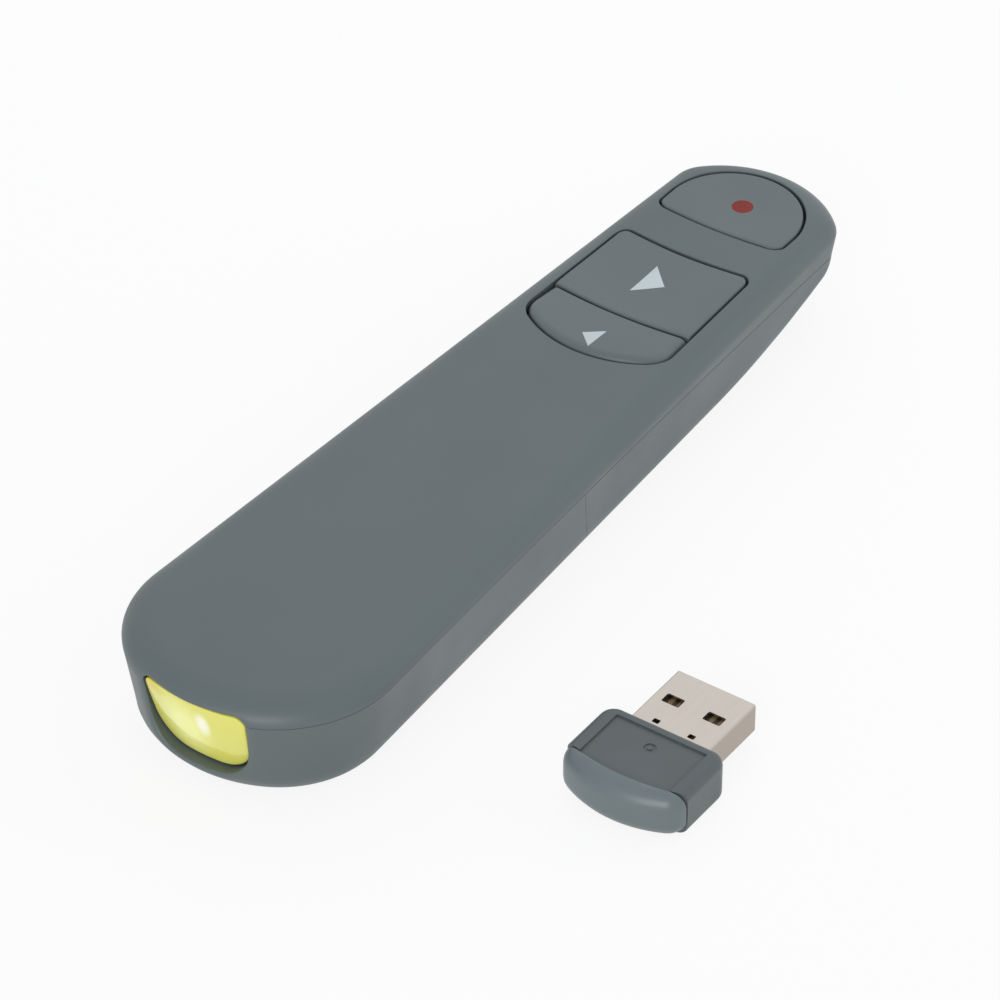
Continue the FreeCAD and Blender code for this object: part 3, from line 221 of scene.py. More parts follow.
def endSpots(end, axisAngle, sideAngle, noseSteps, cornerSteps):  # from the long middle line to the side
    endX, middle, centre, corner, nose = end
    spots = []
    meet = axisAngle
    if middle is None:
        outward = Vector((cos(axisAngle), 0))
        for step in range(noseSteps):
            spots.append(spotOn(Vector((endX, centre.y * step / noseSteps)), 0.0, outward))
    elif nose:
        meet = nose[1]
        for step in range(noseSteps):
            angle = axisAngle + (meet - axisAngle) * step / noseSteps
            spots.append(spotOn(middle, nose[0], Vector((cos(angle), sin(angle)))))
    for step in range(cornerSteps + 1):
        angle = meet + (sideAngle - meet) * step / cornerSteps
        spots.append(spotOn(centre, corner, Vector((cos(angle), sin(angle)))))
    return spots


def drawn(spot, inset, fromDivider=0.0):
    place, move, dividerMove, limit = spot
    return place - min(inset, limit) * move - fromDivider * dividerMove


def ruled(value, x, y):  # a number, or a rule that gives one
    return value(x, y) if callable(value) else value


def ringOf(spots, inset, level, aside=0.0):
    ring = []
    for spot in spots:
        flat = drawn(spot, 0.0)
        flat = drawn(spot, ruled(inset, flat.x, flat.y))
        ring.append(at(flat.x, flat.y + aside, ruled(level, flat.x, flat.y)))
    return ring


def towardsMiddle(ring, share):  # the same ring, narrowed towards its long middle line
    return [Vector((spot.x, spot.y * share, spot.z)) for spot in ring]


def rounded(corners, sideSteps=10, cornerSteps=8):  # corners of (across, up, radius), turning left
    arcs = []
    for index, (across, up, radius) in enumerate(corners):
        here = Vector((across, up))
        before = (Vector(corners[index - 1][:2]) - here).normalized()
        after = (Vector(corners[(index + 1) % len(corners)][:2]) - here).normalized()
        inside = before.angle(after)
        centre = here + (before + after).normalized() * radius / sin(inside / 2)
        first = here + before * radius / tan(inside / 2) - centre
        start = atan2(first.y, first.x)
        arcs.append([])
        for step in range(cornerSteps + 1):
            angle = start + (pi - inside) * step / cornerSteps
            arcs[-1].append(centre + radius * Vector((cos(angle), sin(angle))))
    places = []
    for index, arc in enumerate(arcs):
        following = arcs[(index + 1) % len(arcs)][0]
        places += arc + [arc[-1].lerp(following, step / sideSteps) for step in range(1, sideSteps)]
    return places


def roundedSquare(halfAcross, halfHigh, corner, sideSteps=10, cornerSteps=8):
    signs = ((1, 1), (-1, 1), (-1, -1), (1, -1))
    return rounded([(a * halfAcross, b * halfHigh, corner) for a, b in signs], sideSteps, cornerSteps)


# Casing form, in millimetres

case = {
    "length": 140.0, "halfTail": 19.9, "halfTip": 12.75, "height": 16.6, "tailNose": 21.5,
    "tailCorner": 16.7, "tipNose": 16.2, "tipCorner": 5.5, "crownHeight": 3.0, "crownWidth": 4.8,
    "innerCrown": 4.2, "draft": 2.1, "bottomRound": 4.9, "tipRounder": 1.5, "innerBottom": 3.4,
    "innerRound": 2.0, "wall": 1.5, "sweepStart": 103.0, "sweepRise": 4.0, "sideRise": 3.3,
    "plainHalf": 4.5, "risingWide": 6.0, "partTail": 13.4, "partMiddle": 13.0, "partTip": 10.0,
    "seamGap": 0.05, "lip": 0.08, "windowDepth": 6.0, "windowSide": 9.7, "windowBow": 0.4,
    "tipDepth": 137.4, "tipHalf": 4.65, "tipBow": 0.3,
}
widest = case["height"] - case["crownHeight"]
caseSpots = outline(0, case["length"], case["halfTail"], case["halfTip"], case["tailNose"],
                    case["tailCorner"], case["tipNose"], case["tipCorner"], (16, 18, 70, 14, 12))


def partingAt(x):  # the line between the halves is a shallow arc, lower at the tip
    share = (2 * x - case["length"]) / case["length"]
    lean = (case["partTip"] - case["partTail"]) / 2
    bulge = case["partMiddle"] - (case["partTip"] + case["partTail"]) / 2
    return case["partMiddle"] + lean * share - bulge * share ** 2


def tipRun(x):  # 0 where the underside starts to rise, 1 at the tip
    return max(x - case["sweepStart"], 0) / (case["length"] - case["sweepStart"])


def asideOf(y):  # 0 along the middle, 1 towards the sides
    share = min(max((abs(y) - case["plainHalf"]) / case["risingWide"], 0), 1)
    return share ** 2 * (3 - 2 * share)


def sweepAt(x, y=0):  # rise of the underside towards the tip, more at its sides
    return tipRun(x) ** 2 * (case["sweepRise"] + case["sideRise"] * asideOf(y))


def wallInset(z, x=0, y=0, outside=True):  # how far the wall stands in from the widest line
    if z >= widest:
        share = min((z - widest) / case["crownHeight"], 1)
        return case["crownWidth"] * (1 - sqrt(1 - share ** 2))
    radius = case["bottomRound"] - case["tipRounder"] * tipRun(x) ** 2 * (1 - asideOf(y))
    if not outside:
        radius = case["innerBottom"]
    base = sweepAt(x, y) + radius
    side = case["draft"] * (widest - max(z, base)) / widest
    return side + radius - sqrt(radius ** 2 - min(max(base - z, 0), radius) ** 2)


def insideInset(z, x=0, y=0):  # the same for the wall's inner face
    if z <= widest:
        return case["wall"] + wallInset(z, x, y, False)
    share = min((z - widest) / (case["crownHeight"] - case["wall"]), 1)
    return case["wall"] + case["innerCrown"] * (1 - sqrt(1 - share ** 2))


def heldBack(ring):  # an inner ring that leaves solid blocks round the tail window and the tip notch
    for spot in ring:
        x, y = spot.x / mm - tail, abs(spot.y / mm)
        if y < case["windowSide"]:
            x = max(x, case["windowDepth"] - case["windowBow"] * (y / case["windowSide"]) ** 2)
        if y < case["tipHalf"]:
            x = min(x, case["tipDepth"] + case["tipBow"] * (y / case["tipHalf"]) ** 2)
        spot.x = (x + tail) * mm
    return ring


def wallRing(level, more=0.0, rise=0.0, inside=False):  # one ring of the wall; level is a rule on x and y
    inset = insideInset if inside else wallInset
    ring = ringOf(caseSpots, lambda x, y: inset(level(x, y), x, y) + more, lambda x, y: level(x, y) + rise)
    return heldBack(ring) if inside else ring


def partingLine(x, y):
    return partingAt(x)


def topForm():
    lip = case["lip"]
    ceiling = case["height"] - case["wall"]
    rings = []
    for step in range(6, -1, -1):
        bend = sin(step / 6 * pi / 2)
        rings.append(wallRing(lambda x, y: partingAt(x) + (ceiling - partingAt(x)) * bend, inside=True))
    for step in range(4):
        turn = step * pi / 6
        rings.append(wallRing(partingLine, lip * (1 - sin(turn)), lip * (1 - cos(turn))))
    for step in range(1, 21):
        bend = sin(step / 20 * pi / 2)
        rings.append(wallRing(lambda x, y: partingAt(x) + lip + (case["height"] - partingAt(x) - lip) * bend))
    rings += [towardsMiddle(rings[-1], share) for share in (0.66, 0.33, 0)]
    return loft(rings)


def floorTowards(ring, share, thick):  # the underside itself, narrowed towards its long middle line
    spots = towardsMiddle(ring, share)
    for spot in spots:
        spot.z = (sweepAt(spot.x / mm - tail, spot.y / mm) + thick) * mm
    return spots


def lowerForm():
    lip, floor, inner = case["lip"], case["wall"], case["innerRound"]

    def top(x, y=0):
        return partingAt(x) - case["seamGap"]

    rings = []
    for step in range(6, -1, -1):
        turn = step * pi / 12
        rings.append(wallRing(lambda x, y: sweepAt(x, y) + floor + inner * (1 - sin(turn)),
                              inner * (1 - cos(turn)), inside=True))
    rings[:0] = [floorTowards(rings[0], share, floor) for share in (0, 0.33, 0.66)]
    for share in (0.35, 0.7, 1.0):
        rings.append(wallRing(lambda x, y: sweepAt(x, y) + floor + inner
                              + (top(x) - sweepAt(x, y) - floor - inner) * share, inside=True))
    for step in range(4):
        turn = step * pi / 6
        rings.append(wallRing(top, lip * (1 - sin(turn)), -lip * (1 - cos(turn))))
    for share in (0.9, 0.8, 0.7, 0.61, 0.52, 0.44, 0.36, 0.29, 0.22, 0.16, 0.11, 0.07, 0.035, 0.012, 0.0):
        rings.append(wallRing(lambda x, y: sweepAt(x, y) + (top(x) - lip - sweepAt(x, y)) * share))
    rings += [floorTowards(rings[-1], share, 0) for share in (0.8, 0.55, 0.3, 0)]
    return loft(rings)


# Openings of the casing

opening = {
    "pairTail": 86.95, "pairTip": 114.2, "pairHalfTail": 11.9, "pairHalfTip": 10.85, "pairNose": 17.4,
    "pairTailCorner": 4.4, "pairTipCorner": 1.8, "laserTail": 121.25, "laserTip": 136.5, "laserHalf": 10.4,
    "laserCorner": 2.0, "lip": 0.16, "bowReach": 4.5, "divider": 97.35, "dividerRadius": 73.0,
    "dividerGap": 0.45, "windowHalf": 8.3, "windowEase": 0.9, "windowLow": 3.0, "windowHigh": 14.6,
    "highCorner": 1.8, "lowCorner": 5.0, "sideLip": 1.3, "topLip": 0.5, "lipDeep": 0.45,
    "notchHalf": 3.15, "notchLow": 5.4, "notchHigh": 13.4, "notchPast": 150.0, "cutLow": 6.0,
    "cutHigh": 20.0, "windowCutIn": 9.0, "windowCutOut": -8.0,
}
pairSpots = outline(opening["pairTail"], opening["pairTip"], opening["pairHalfTail"],
                    opening["pairHalfTip"], opening["pairNose"], opening["pairTailCorner"], 0,
                    opening["pairTipCorner"], (14, 12, 16, 8, 10))
laserSpots = outline(opening["laserTail"], opening["laserTip"], opening["laserHalf"], opening["laserHalf"],
                     0, opening["laserCorner"], opening["laserHalf"], opening["laserHalf"], (10, 8, 8, 40, 1))


def bowed(spots, end):  # bows an outline's straight end like the curved divider
    for spot in spots:
        share = max(1 - abs(drawn(spot, 0).x - end) / opening["bowReach"], 0)
        spot[0].x += share * spot[0].y ** 2 / (2 * opening["dividerRadius"])
    return spots


pairSpots = bowed(pairSpots, opening["pairTip"])
laserSpots = bowed(laserSpots, opening["laserTail"])


def surfaceTool(spots, crown):  # an upright cutter that rounds the rim it leaves
    def crownAt(x, y):
        hit = crown.ray_cast(at(x, y, 2 * opening["cutHigh"]), Vector((0, 0, -1)))[0]
        return hit.z / mm

    lip = opening["lip"]
    rings = [ringOf(spots, 0, opening["cutLow"])]
    for turn in (0.0, 0.45, 0.85, 1.25):
        inset = -lip * (1 - cos(turn))
        rings.append(followed(spots, inset, crownAt, -lip * (1 - sin(turn))))
    rings.append(followed(spots, -lip, crownAt, 0.01))
    rings.append(ringOf(spots, -lip, opening["cutHigh"]))
    return piece("tool", loft(rings))


def followed(spots, inset, crownAt, drop):
    ring = []
    for spot in spots:
        flat = drawn(spot, inset)
        ring.append(at(flat.x, flat.y, crownAt(flat.x, flat.y) + drop))
    return ring


def noseAt(y, z):
    radius = case["tailNose"] - wallInset(z)
    return case["tailNose"] - sqrt(radius ** 2 - y ** 2)


def shield(moreAcross, moreHigh, sideSteps=12, cornerSteps=12):  # the tail opening's outline
    half, low = opening["windowHalf"] + moreAcross, opening["windowLow"] - moreAcross
    high = opening["windowHigh"] + moreHigh
    top, foot = opening["highCorner"] + moreHigh, opening["lowCorner"] + moreAcross
    narrow = half - opening["windowEase"]
    return rounded([(half, high, top), (-half, high, top), (-narrow, low, foot), (narrow, low, foot)],
                   sideSteps, cornerSteps)


def windowTool():
    inner, outer = shield(0, 0), shield(opening["sideLip"], opening["topLip"])

    def ring(turn, place):
        spots = []
        for near, far in zip(inner, outer):
            spot = near.lerp(far, 1 - cos(turn))
            spots.append(at(place(spot, (far - near).length), *spot))
        return spots

    rings = [ring(0, lambda spot, lip: opening["windowCutIn"])]
    for turn in (0.0, 0.25, 0.5, 0.75, 1.0, 1.2, 1.4):
        rings.append(ring(turn, lambda spot, lip: noseAt(*spot) + lip * opening["lipDeep"] * (1 - sin(turn))))
    rings.append(ring(pi / 2, lambda spot, lip: noseAt(*spot) - 0.02))
    rings.append(ring(pi / 2, lambda spot, lip: opening["windowCutOut"]))
    return piece("tool", loft(rings))


# Materials, all procedural

def surface(name, look):
    material = bpy.data.materials.new(name)
    material.use_nodes = True
    nodes, links = material.node_tree.nodes, material.node_tree.links
    shader = nodes["Principled BSDF"]
    place = nodes.new("ShaderNodeTexCoord")
    mapping = nodes.new("ShaderNodeMapping")
    mapping.inputs["Scale"].default_value = look.get("stretch", (1, 1, 1))
    links.new(place.outputs["Object"], mapping.inputs["Vector"])

    def noise(scale, detail=3.0):
        node = nodes.new("ShaderNodeTexNoise")
        node.inputs["Scale"].default_value = scale
        node.inputs["Detail"].default_value = detail
        links.new(mapping.outputs["Vector"], node.inputs["Vector"])
        return node.outputs["Fac"]

    def spread(source, low, high, start=0.3, stop=0.7):
        node = nodes.new("ShaderNodeMapRange")
        node.inputs["From Min"].default_value = start
        node.inputs["From Max"].default_value = stop
        node.inputs["To Min"].default_value = low
        node.inputs["To Max"].default_value = high
        links.new(source, node.inputs["Value"])
        return node.outputs["Result"]

    def mixed(share, first, second):
        node = nodes.new("ShaderNodeMix")
        node.data_type = "RGBA"
        links.new(share, node.inputs[0])
        for socket, value in ((node.inputs[6], first), (node.inputs[7], second)):
            if isinstance(value, tuple):
                socket.default_value = (*value, 1)
            else:
                links.new(value, socket)
        return node.outputs[2]

    colour, shade = look["colour"], look.get("shade", tuple(c * 0.9 for c in look["colour"]))
    tint = mixed(spread(noise(look.get("patch", 60)), 0, 1), colour, shade)
    if look.get("wear"):  # paler edges
        edge = nodes.new("ShaderNodeNewGeometry").outputs["Pointiness"]
        tint = mixed(spread(edge, 0, look["wear"], 0.52, 0.62), tint, look.get("worn", (0.4, 0.42, 0.43)))
    if look.get("bands"):  # strips across the piece
        wave = nodes.new("ShaderNodeTexWave")
        wave.bands_direction = "Y"
        wave.inputs["Scale"].default_value = look["bands"]
        links.new(place.outputs["Object"], wave.inputs["Vector"])
        tint = mixed(spread(wave.outputs["Fac"], 0, 1, 0.4, 0.6), tint, look["bandColour"])
    if look.get("lower"):  # painted shade: a darker colour below a level, so the sides under a top face look shaded
        level, shadedSideColour = look["lower"]
        parts = nodes.new("ShaderNodeSeparateXYZ")
        links.new(place.outputs["Object"], parts.inputs["Vector"])
        tint = mixed(spread(parts.outputs["Z"], 1, 0, (level - 0.3) * mm, level * mm), tint, shadedSideColour)
    for middle, reach, paintedLightColour in look.get("paintedLightPatches", ()):  # painted light: soft paler and darker areas round a place, as painted highlights and painted shade
        around = nodes.new("ShaderNodeMapping")
        around.vector_type = "TEXTURE"
        around.inputs["Location"].default_value = at(*middle)
        around.inputs["Scale"].default_value = Vector(reach) * mm
        links.new(place.outputs["Object"], around.inputs["Vector"])
        far = nodes.new("ShaderNodeVectorMath")
        far.operation = "LENGTH"
        links.new(around.outputs["Vector"], far.inputs[0])
        tint = mixed(spread(far.outputs["Value"], 1, 0, 0.35, 1.0), tint, paintedLightColour)
    links.new(tint, shader.inputs["Base Color"])
    rough = look["rough"]
    uneven = spread(noise(look.get("patch", 60) * 2.3), rough * 0.9, rough * 1.1)
    links.new(uneven, shader.inputs["Roughness"])
    shader.inputs["Metallic"].default_value = look.get("metal", 0.0)
    shader.inputs["Specular IOR Level"].default_value = look.get("specular", 0.5)
    shader.inputs["Transmission Weight"].default_value = look.get("clear", 0.0)
    shader.inputs["Coat Weight"].default_value = look.get("coat", 0.0)
    shader.inputs["Coat Roughness"].default_value = 0.04
    bump = nodes.new("ShaderNodeBump")
    bump.inputs["Strength"].default_value = look.get("bump", 0.1)
    bump.inputs["Distance"].default_value = look.get("depth", 0.02) * mm
    links.new(noise(look.get("grain", 9000), 2.0), bump.inputs["Height"])
    links.new(bump.outputs["Normal"], shader.inputs["Normal"])
    return material


looks = {
    "casingGrey": {"colour": (0.1, 0.124, 0.128), "shade": (0.094, 0.117, 0.122), "rough": 0.46, "patch": 35,
                   "grain": 7000, "bump": 0.35, "depth": 0.012, "wear": 0.12, "worn": (0.17, 0.195, 0.2)},
    "keyGrey": {"colour": (0.106, 0.13, 0.135), "shade": (0.1, 0.123, 0.128), "rough": 0.4, "patch": 50,
                "grain": 8000, "bump": 0.25, "depth": 0.01, "wear": 0.15, "worn": (0.22, 0.24, 0.25)},
    "dotRed": {"colour": (0.19, 0.018, 0.012), "shade": (0.17, 0.016, 0.01), "rough": 0.5, "patch": 300,
               "specular": 0.35},
    "arrowPale": {"colour": (0.47, 0.54, 0.56), "shade": (0.44, 0.5, 0.52), "rough": 0.5, "patch": 300},
    "lensYellow": {"colour": (0.76, 0.74, 0.16), "shade": (0.73, 0.71, 0.14), "rough": 0.08, "patch": 90,
                   "clear": 0.03, "coat": 0.1, "specular": 0.3, "grain": 400, "bump": 0.02, "depth": 0.01,
                   # painted light on the lens: a paler middle and a near-white upright streak are painted
                   # highlights, the darker area high at one side is painted shade
                   "paintedLightPatches": (((2.0, 1.6, 8.5), (8, 4.6, 6.0), (0.92, 0.92, 0.34)),
                               ((2.0, 6.9, 13.5), (8, 3.2, 1.8), (0.72, 0.6, 0.04)),
                               ((2.0, -1.6, 10.6), (8, 1.3, 2.6), (0.97, 0.97, 0.74)))},
    "dongleGrey": {"colour": (0.085, 0.102, 0.106), "shade": (0.08, 0.096, 0.1), "rough": 0.4, "patch": 120,
                   "grain": 8000, "bump": 0.3, "depth": 0.01, "wear": 0.15, "worn": (0.18, 0.2, 0.21)},
    "endGrey": {"colour": (0.13, 0.162, 0.17), "shade": (0.122, 0.152, 0.16), "rough": 0.36, "patch": 120,
                "grain": 8000, "bump": 0.3, "depth": 0.01, "wear": 0.1, "worn": (0.24, 0.26, 0.27)},
    "plugSteel": {"colour": (0.88, 0.8, 0.725), "shade": (0.85, 0.77, 0.695), "rough": 0.24, "patch": 200,
                  "metal": 1.0, "grain": 3000, "bump": 0.04, "depth": 0.01, "stretch": (1, 6, 6),
                  # darker below the top face: painted shade on the plug's sides
                  "lower": (5.54, (0.4, 0.35, 0.3))},
    "insideBlack": {"colour": (0.02, 0.021, 0.022), "rough": 0.5},
    "trayBlack": {"colour": (0.03, 0.032, 0.034), "rough": 0.55, "bump": 0.2},
    "cellJacket": {"colour": (0.05, 0.06, 0.09), "shade": (0.07, 0.06, 0.05), "rough": 0.3, "coat": 0.3},
    "springSteel": {"colour": (0.6, 0.6, 0.58), "rough": 0.25, "metal": 1.0},
    "screwSteel": {"colour": (0.5, 0.5, 0.5), "rough": 0.3, "metal": 1.0},
    "boardGreen": {"colour": (0.03, 0.14, 0.06), "shade": (0.025, 0.11, 0.05), "rough": 0.4, "patch": 400},
    "switchBlack": {"colour": (0.025, 0.025, 0.027), "rough": 0.45},
    "shieldTin": {"colour": (0.62, 0.62, 0.6), "rough": 0.35, "metal": 1.0},
    "chipBlack": {"colour": (0.02, 0.02, 0.022), "rough": 0.35},
    "barrelBrass": {"colour": (0.7, 0.5, 0.22), "rough": 0.3, "metal": 1.0},
    "glassClear": {"colour": (0.9, 0.92, 0.92), "rough": 0.03, "clear": 0.95},
    "guideClear": {"colour": (0.85, 0.87, 0.8), "rough": 0.1, "clear": 0.7},
    "windowDark": {"colour": (0.03, 0.012, 0.012), "rough": 0.08, "coat": 0.5},
    "lightWhite": {"colour": (0.85, 0.88, 0.7), "rough": 0.3},
    # the tongue painted as gold contacts in their shade: the brown is painted shade on gold, with dark strips
    # between the contacts
    "tongueContactsInShade": {"colour": (0.2, 0.12, 0.045), "shade": (0.16, 0.1, 0.04), "rough": 0.4, "patch": 500,
                    "bands": 250, "bandColour": (0.02, 0.018, 0.015)},
    "contactGold": {"colour": (0.8, 0.55, 0.2), "rough": 0.25, "metal": 1.0},
}
materials = {name: surface(name, look) for name, look in looks.items()}
slotLooks = {
    "shell_grey": "casingGrey", "door_grey": "casingGrey", "button_grey": "keyGrey", "mark_red": "dotRed",
    "mark_pale": "arrowPale", "window_tint": "lensYellow", "clear_guide": "guideClear",
    "dark_window": "windowDark", "tray_black": "trayBlack", "cell_jacket": "cellJacket",
    "spring_steel": "springSteel", "screw_steel": "screwSteel", "board_green": "boardGreen",
    "switch_black": "switchBlack", "shield_tin": "shieldTin", "chip_black": "chipBlack",
    "barrel_brass": "barrelBrass", "lens_clear": "glassClear", "light_white": "lightWhite",
    "receiver_grey": "dongleGrey", "receiver_cap_grey": "endGrey", "plug_steel": "plugSteel",
    "tongue_white": "tongueContactsInShade", "contact_gold": "contactGold",
}
nodeSlots = {part["node"]: part["material_slot"] for part in frame["record"]["subparts"]}
for name, node in frame["nodes"].items():
    if not node.material_slots:
        node.data.materials.append(None)
    for place in node.material_slots:
        place.material = materials[slotLooks[nodeSlots[name]]]
print("materials made:", len(materials))


# Upper half of the casing

topShell = piece("upperCasing", topForm(), materials["casingGrey"])
shape = bmesh.new()
shape.from_mesh(topShell.data)
crown = BVHTree.FromBMesh(shape)
shape.free()
windowCut = windowTool()
notchCut = blockTool(at(case["tipDepth"], -opening["notchHalf"], opening["notchLow"]),
                     at(opening["notchPast"], opening["notchHalf"], opening["notchHigh"]))
carve(topShell, [surfaceTool(pairSpots, crown), surfaceTool(laserSpots, crown)])
carve(topShell, [windowCut, notchCut], keep=True)
evenOut(topShell)
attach(topShell, "casing")
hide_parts("top_shell")
print("upper casing:", len(topShell.data.polygons))


# Lower half of the casing: front part and sliding battery door

under = {
    "seamTop": 65.5, "seamLean": 3.9, "seamEdge": 0.1, "foot": 3.2, "footTop": 7.85, "well": 2.15,
    "wellDeep": 3.0, "hole": 1.2, "holeTop": 9.0, "slotAt": 90.0, "padLong": 14.0, "padWide": 9.0,
    "padLow": 0.7, "padHigh": 2.3, "recessLong": 11.0, "recessWide": 6.0, "recessDeep": 0.8,
    "recessCorner": 0.5, "slotLong": 5.8, "slotWide": 2.5, "slotTop": 5.0, "middleUp": 9.0,
    "outsideFrom": 1.5,
    "posts": ((76.0, 9.5), (76.0, -9.5), (117.7, 7.0), (117.7, -7.0)),
}


def lowerPart(keepTail):  # the tail part is the battery door, the other the front of the underside
    bm = lowerForm()
    shift = 0.0 if keepTail else case["seamGap"]
    place = at(under["seamTop"] + shift, 0, case["partMiddle"])
    way = Vector((case["partMiddle"], 0, under["seamLean"])).normalized()
    cut = bmesh.ops.bisect_plane(bm, geom=bm.verts[:] + bm.edges[:] + bm.faces[:], plane_co=place,
                                 plane_no=way, dist=0.0001 * mm, clear_outer=keepTail,
                                 clear_inner=not keepTail)
    rim = [g for g in cut["geom_cut"] if isinstance(g, bmesh.types.BMEdge)]
    bmesh.ops.holes_fill(bm, edges=rim, sides=0)
    bmesh.ops.recalc_face_normals(bm, faces=bm.faces)
    outside = []
    for edge in bm.edges:
        middle = (edge.verts[0].co + edge.verts[1].co) / 2
        if abs((middle - place).dot(way)) < 0.001 * mm and len(edge.link_faces) == 2:
            outward = [f.normal for f in edge.link_faces if abs(f.normal.dot(way)) < 0.7]
            arm = Vector((0, middle.y, middle.z - under["middleUp"] * mm))
            if outward and outward[0].dot(arm) > under["outsideFrom"] * mm:
                outside.append(edge)
    bmesh.ops.bevel(bm, geom=outside, offset=under["seamEdge"] * mm, offset_type="OFFSET", segments=2,
                    profile=0.5, affect="EDGES", material=-1, clamp_overlap=True)
    return bm


frontPart = piece("lowerCasing", lowerPart(False), materials["casingGrey"])
feet = [roundTool(under["foot"], case["wall"] / 2, under["footTop"], x, y) for x, y in under["posts"]]
halfLong, halfWide = under["padLong"] / 2, under["padWide"] / 2
slotFloor = blockTool(at(under["slotAt"] - halfLong, -halfWide, under["padLow"]),
                      at(under["slotAt"] + halfLong, halfWide, under["padHigh"]))
carve(frontPart, feet + [slotFloor], "UNION")
wells = [roundTool(under["well"], -1, under["wellDeep"], x, y) for x, y in under["posts"]]
holes = [roundTool(under["hole"], 0, under["holeTop"], x, y, 48) for x, y in under["posts"]]
halfLong, halfWide = under["recessLong"] / 2, under["recessWide"] / 2
recess = blockTool(at(under["slotAt"] - halfLong, -halfWide, -1),
                   at(under["slotAt"] + halfLong, halfWide, under["recessDeep"]),
                   under["recessCorner"] * mm, True)
halfLong, halfWide = under["slotLong"] / 2, under["slotWide"] / 2
slot = blockTool(at(under["slotAt"] - halfLong, -halfWide, -1),
                 at(under["slotAt"] + halfLong, halfWide, under["slotTop"]))
carve(frontPart, wells + holes + [recess, slot])
carve(frontPart, [notchCut])
evenOut(frontPart)
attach(frontPart, "casing")
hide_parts("bottom_shell")

door = piece("batteryDoor", lowerPart(True), materials["casingGrey"])
carve(door, [windowCut])
evenOut(door)
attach(door, "battery_cover")
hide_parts("battery_door")
print("lower casing and door:", len(frontPart.data.polygons), len(door.data.polygons))


# Keys: caps with rounded rims, a foot caught under the casing and a boss over the switch

keys = {
    "gap": 0.38, "flange": 0.6, "flangeThick": 1.0, "rim": 0.4, "bossRadius": 1.6, "bossDrop": 0.3,
    "laserDish": 0.5, "laserReach": 9.0, "laserMiddle": 128.65, "laserBoss": 123.5, "nextDish": 0.3,
    "nextReach": 11.5, "nextMiddle": 105.55, "nextBoss": 105.0, "backRise": 0.6, "backDrop": 0.1,
    "backMiddle": 92.5, "backBoss": 91.0, "backRim": 1.2, "dividerRim": 0.25, "dotAt": 128.8,
    "dotRadius": 1.55, "dotLow": 15.8, "arrowLow": 15.5, "arrowTall": 4.0, "nextMarkAt": 106.4,
    "nextMarkLong": 6.85, "nextMarkHalf": 1.75, "backMarkAt": 90.6, "backMarkLong": 4.55,
    "backMarkBase": -1.3, "backMarkPoint": 1.2, "cornerFree": 0.8,
}


def splitSpots(nextKey):  # one key's share of the pair's outline, closed by the curved divider line
    slope = atan2(opening["pairHalfTail"] - opening["pairHalfTip"], opening["pairTip"] - opening["pairTail"])
    side = Vector((sin(slope), cos(slope)))
    reach = side.dot(Vector((opening["pairTail"], opening["pairHalfTail"])))
    way = 1 if nextKey else -1
    radius = opening["dividerRadius"] - way * opening["dividerGap"] / 2
    middle = Vector((opening["divider"] + opening["dividerRadius"], 0))
    depth = side.dot(middle) - reach
    corner = middle - depth * side + sqrt(radius ** 2 - depth ** 2) * Vector((-side.y, side.x))
    full = atan2(corner.y, middle.x - corner.x)
    arc = []
    for step in range(19):
        share = sin(step / 18 * pi / 2)
        outward = Vector((-cos(full * share), sin(full * share)))
        along = Vector((sin(full * share), cos(full * share)))
        arc.append((middle + radius * outward, along * share / along.dot(side), way * outward, noLimit))
    kept = []
    for spot in pairSpots[:len(pairSpots) // 2 + 1]:
        past = way * (drawn(spot, 0).x - corner.x)
        if past > keys["cornerFree"]:
            kept.append(spot)
    return mirrored(arc + kept) if nextKey else mirrored(kept + arc[::-1])


def sideGap(x, y):  # how far a place lies inside the pair's straight sides
    slope = atan2(opening["pairHalfTail"] - opening["pairHalfTip"], opening["pairTip"] - opening["pairTail"])
    reach = opening["pairTail"] * sin(slope) + opening["pairHalfTail"] * cos(slope)
    return reach - sin(slope) * x - cos(slope) * abs(y) - keys["gap"]


def capForm(spots, top, middleX, rimOpen, rimLine, bossX, low):  # boss, foot, shaft, rim and top in turn
    def level(spot, flat, turn):
        if spot[2].length < 0.5:
            return top(flat.x, flat.y) - rimOpen * (1 - sin(turn))
        spare = max(rimOpen - max(sideGap(flat.x, flat.y), 0), 0)
        return top(flat.x, flat.y) - rimOpen + sqrt(rimOpen ** 2 - spare ** 2) - rimLine * (1 - sin(turn))

    def flats(inset, fromDivider=0.0):
        return [drawn(spot, inset, fromDivider) for spot in spots]

    foot = flats(-keys["flange"])
    centre = Vector((bossX, 0))
    boss = [centre + keys["bossRadius"] * (flat - centre).normalized() for flat in foot]
    shaft = flats(keys["gap"])
    shoulder = low + keys["flangeThick"]
    rings = [[at(*flat, low - keys["bossDrop"]) for flat in boss], [at(*flat, low) for flat in boss],
             [at(*flat, low) for flat in foot], [at(*flat, shoulder) for flat in foot],
             [at(*flat, shoulder) for flat in shaft]]
    for step in range(7):
        turn = step * pi / 12
        bend = 1 - cos(turn)
        edge = flats(keys["gap"] + rimOpen * bend, rimLine * bend)
        rings.append([at(*flat, level(spot, flat, turn)) for spot, flat in zip(spots, edge)])
    for share in (0.97, 0.9, 0.8, 0.7, 0.6, 0.5, 0.4, 0.3, 0.2, 0.1, 0.0):
        inner = [Vector((middleX + (flat.x - middleX) * share, flat.y * share)) for flat in edge]
        rings.append([at(*flat, top(*flat)) for flat in inner])
    return loft(rings)


def softDish(x, y, middleX, reach, depth):
    share = min(hypot(x - middleX, y) / reach, 1)
    return case["height"] - depth * (1 - share ** 2) ** 2


def laserTop(x, y):
    return softDish(x, y, keys["laserMiddle"], keys["laserReach"], keys["laserDish"])


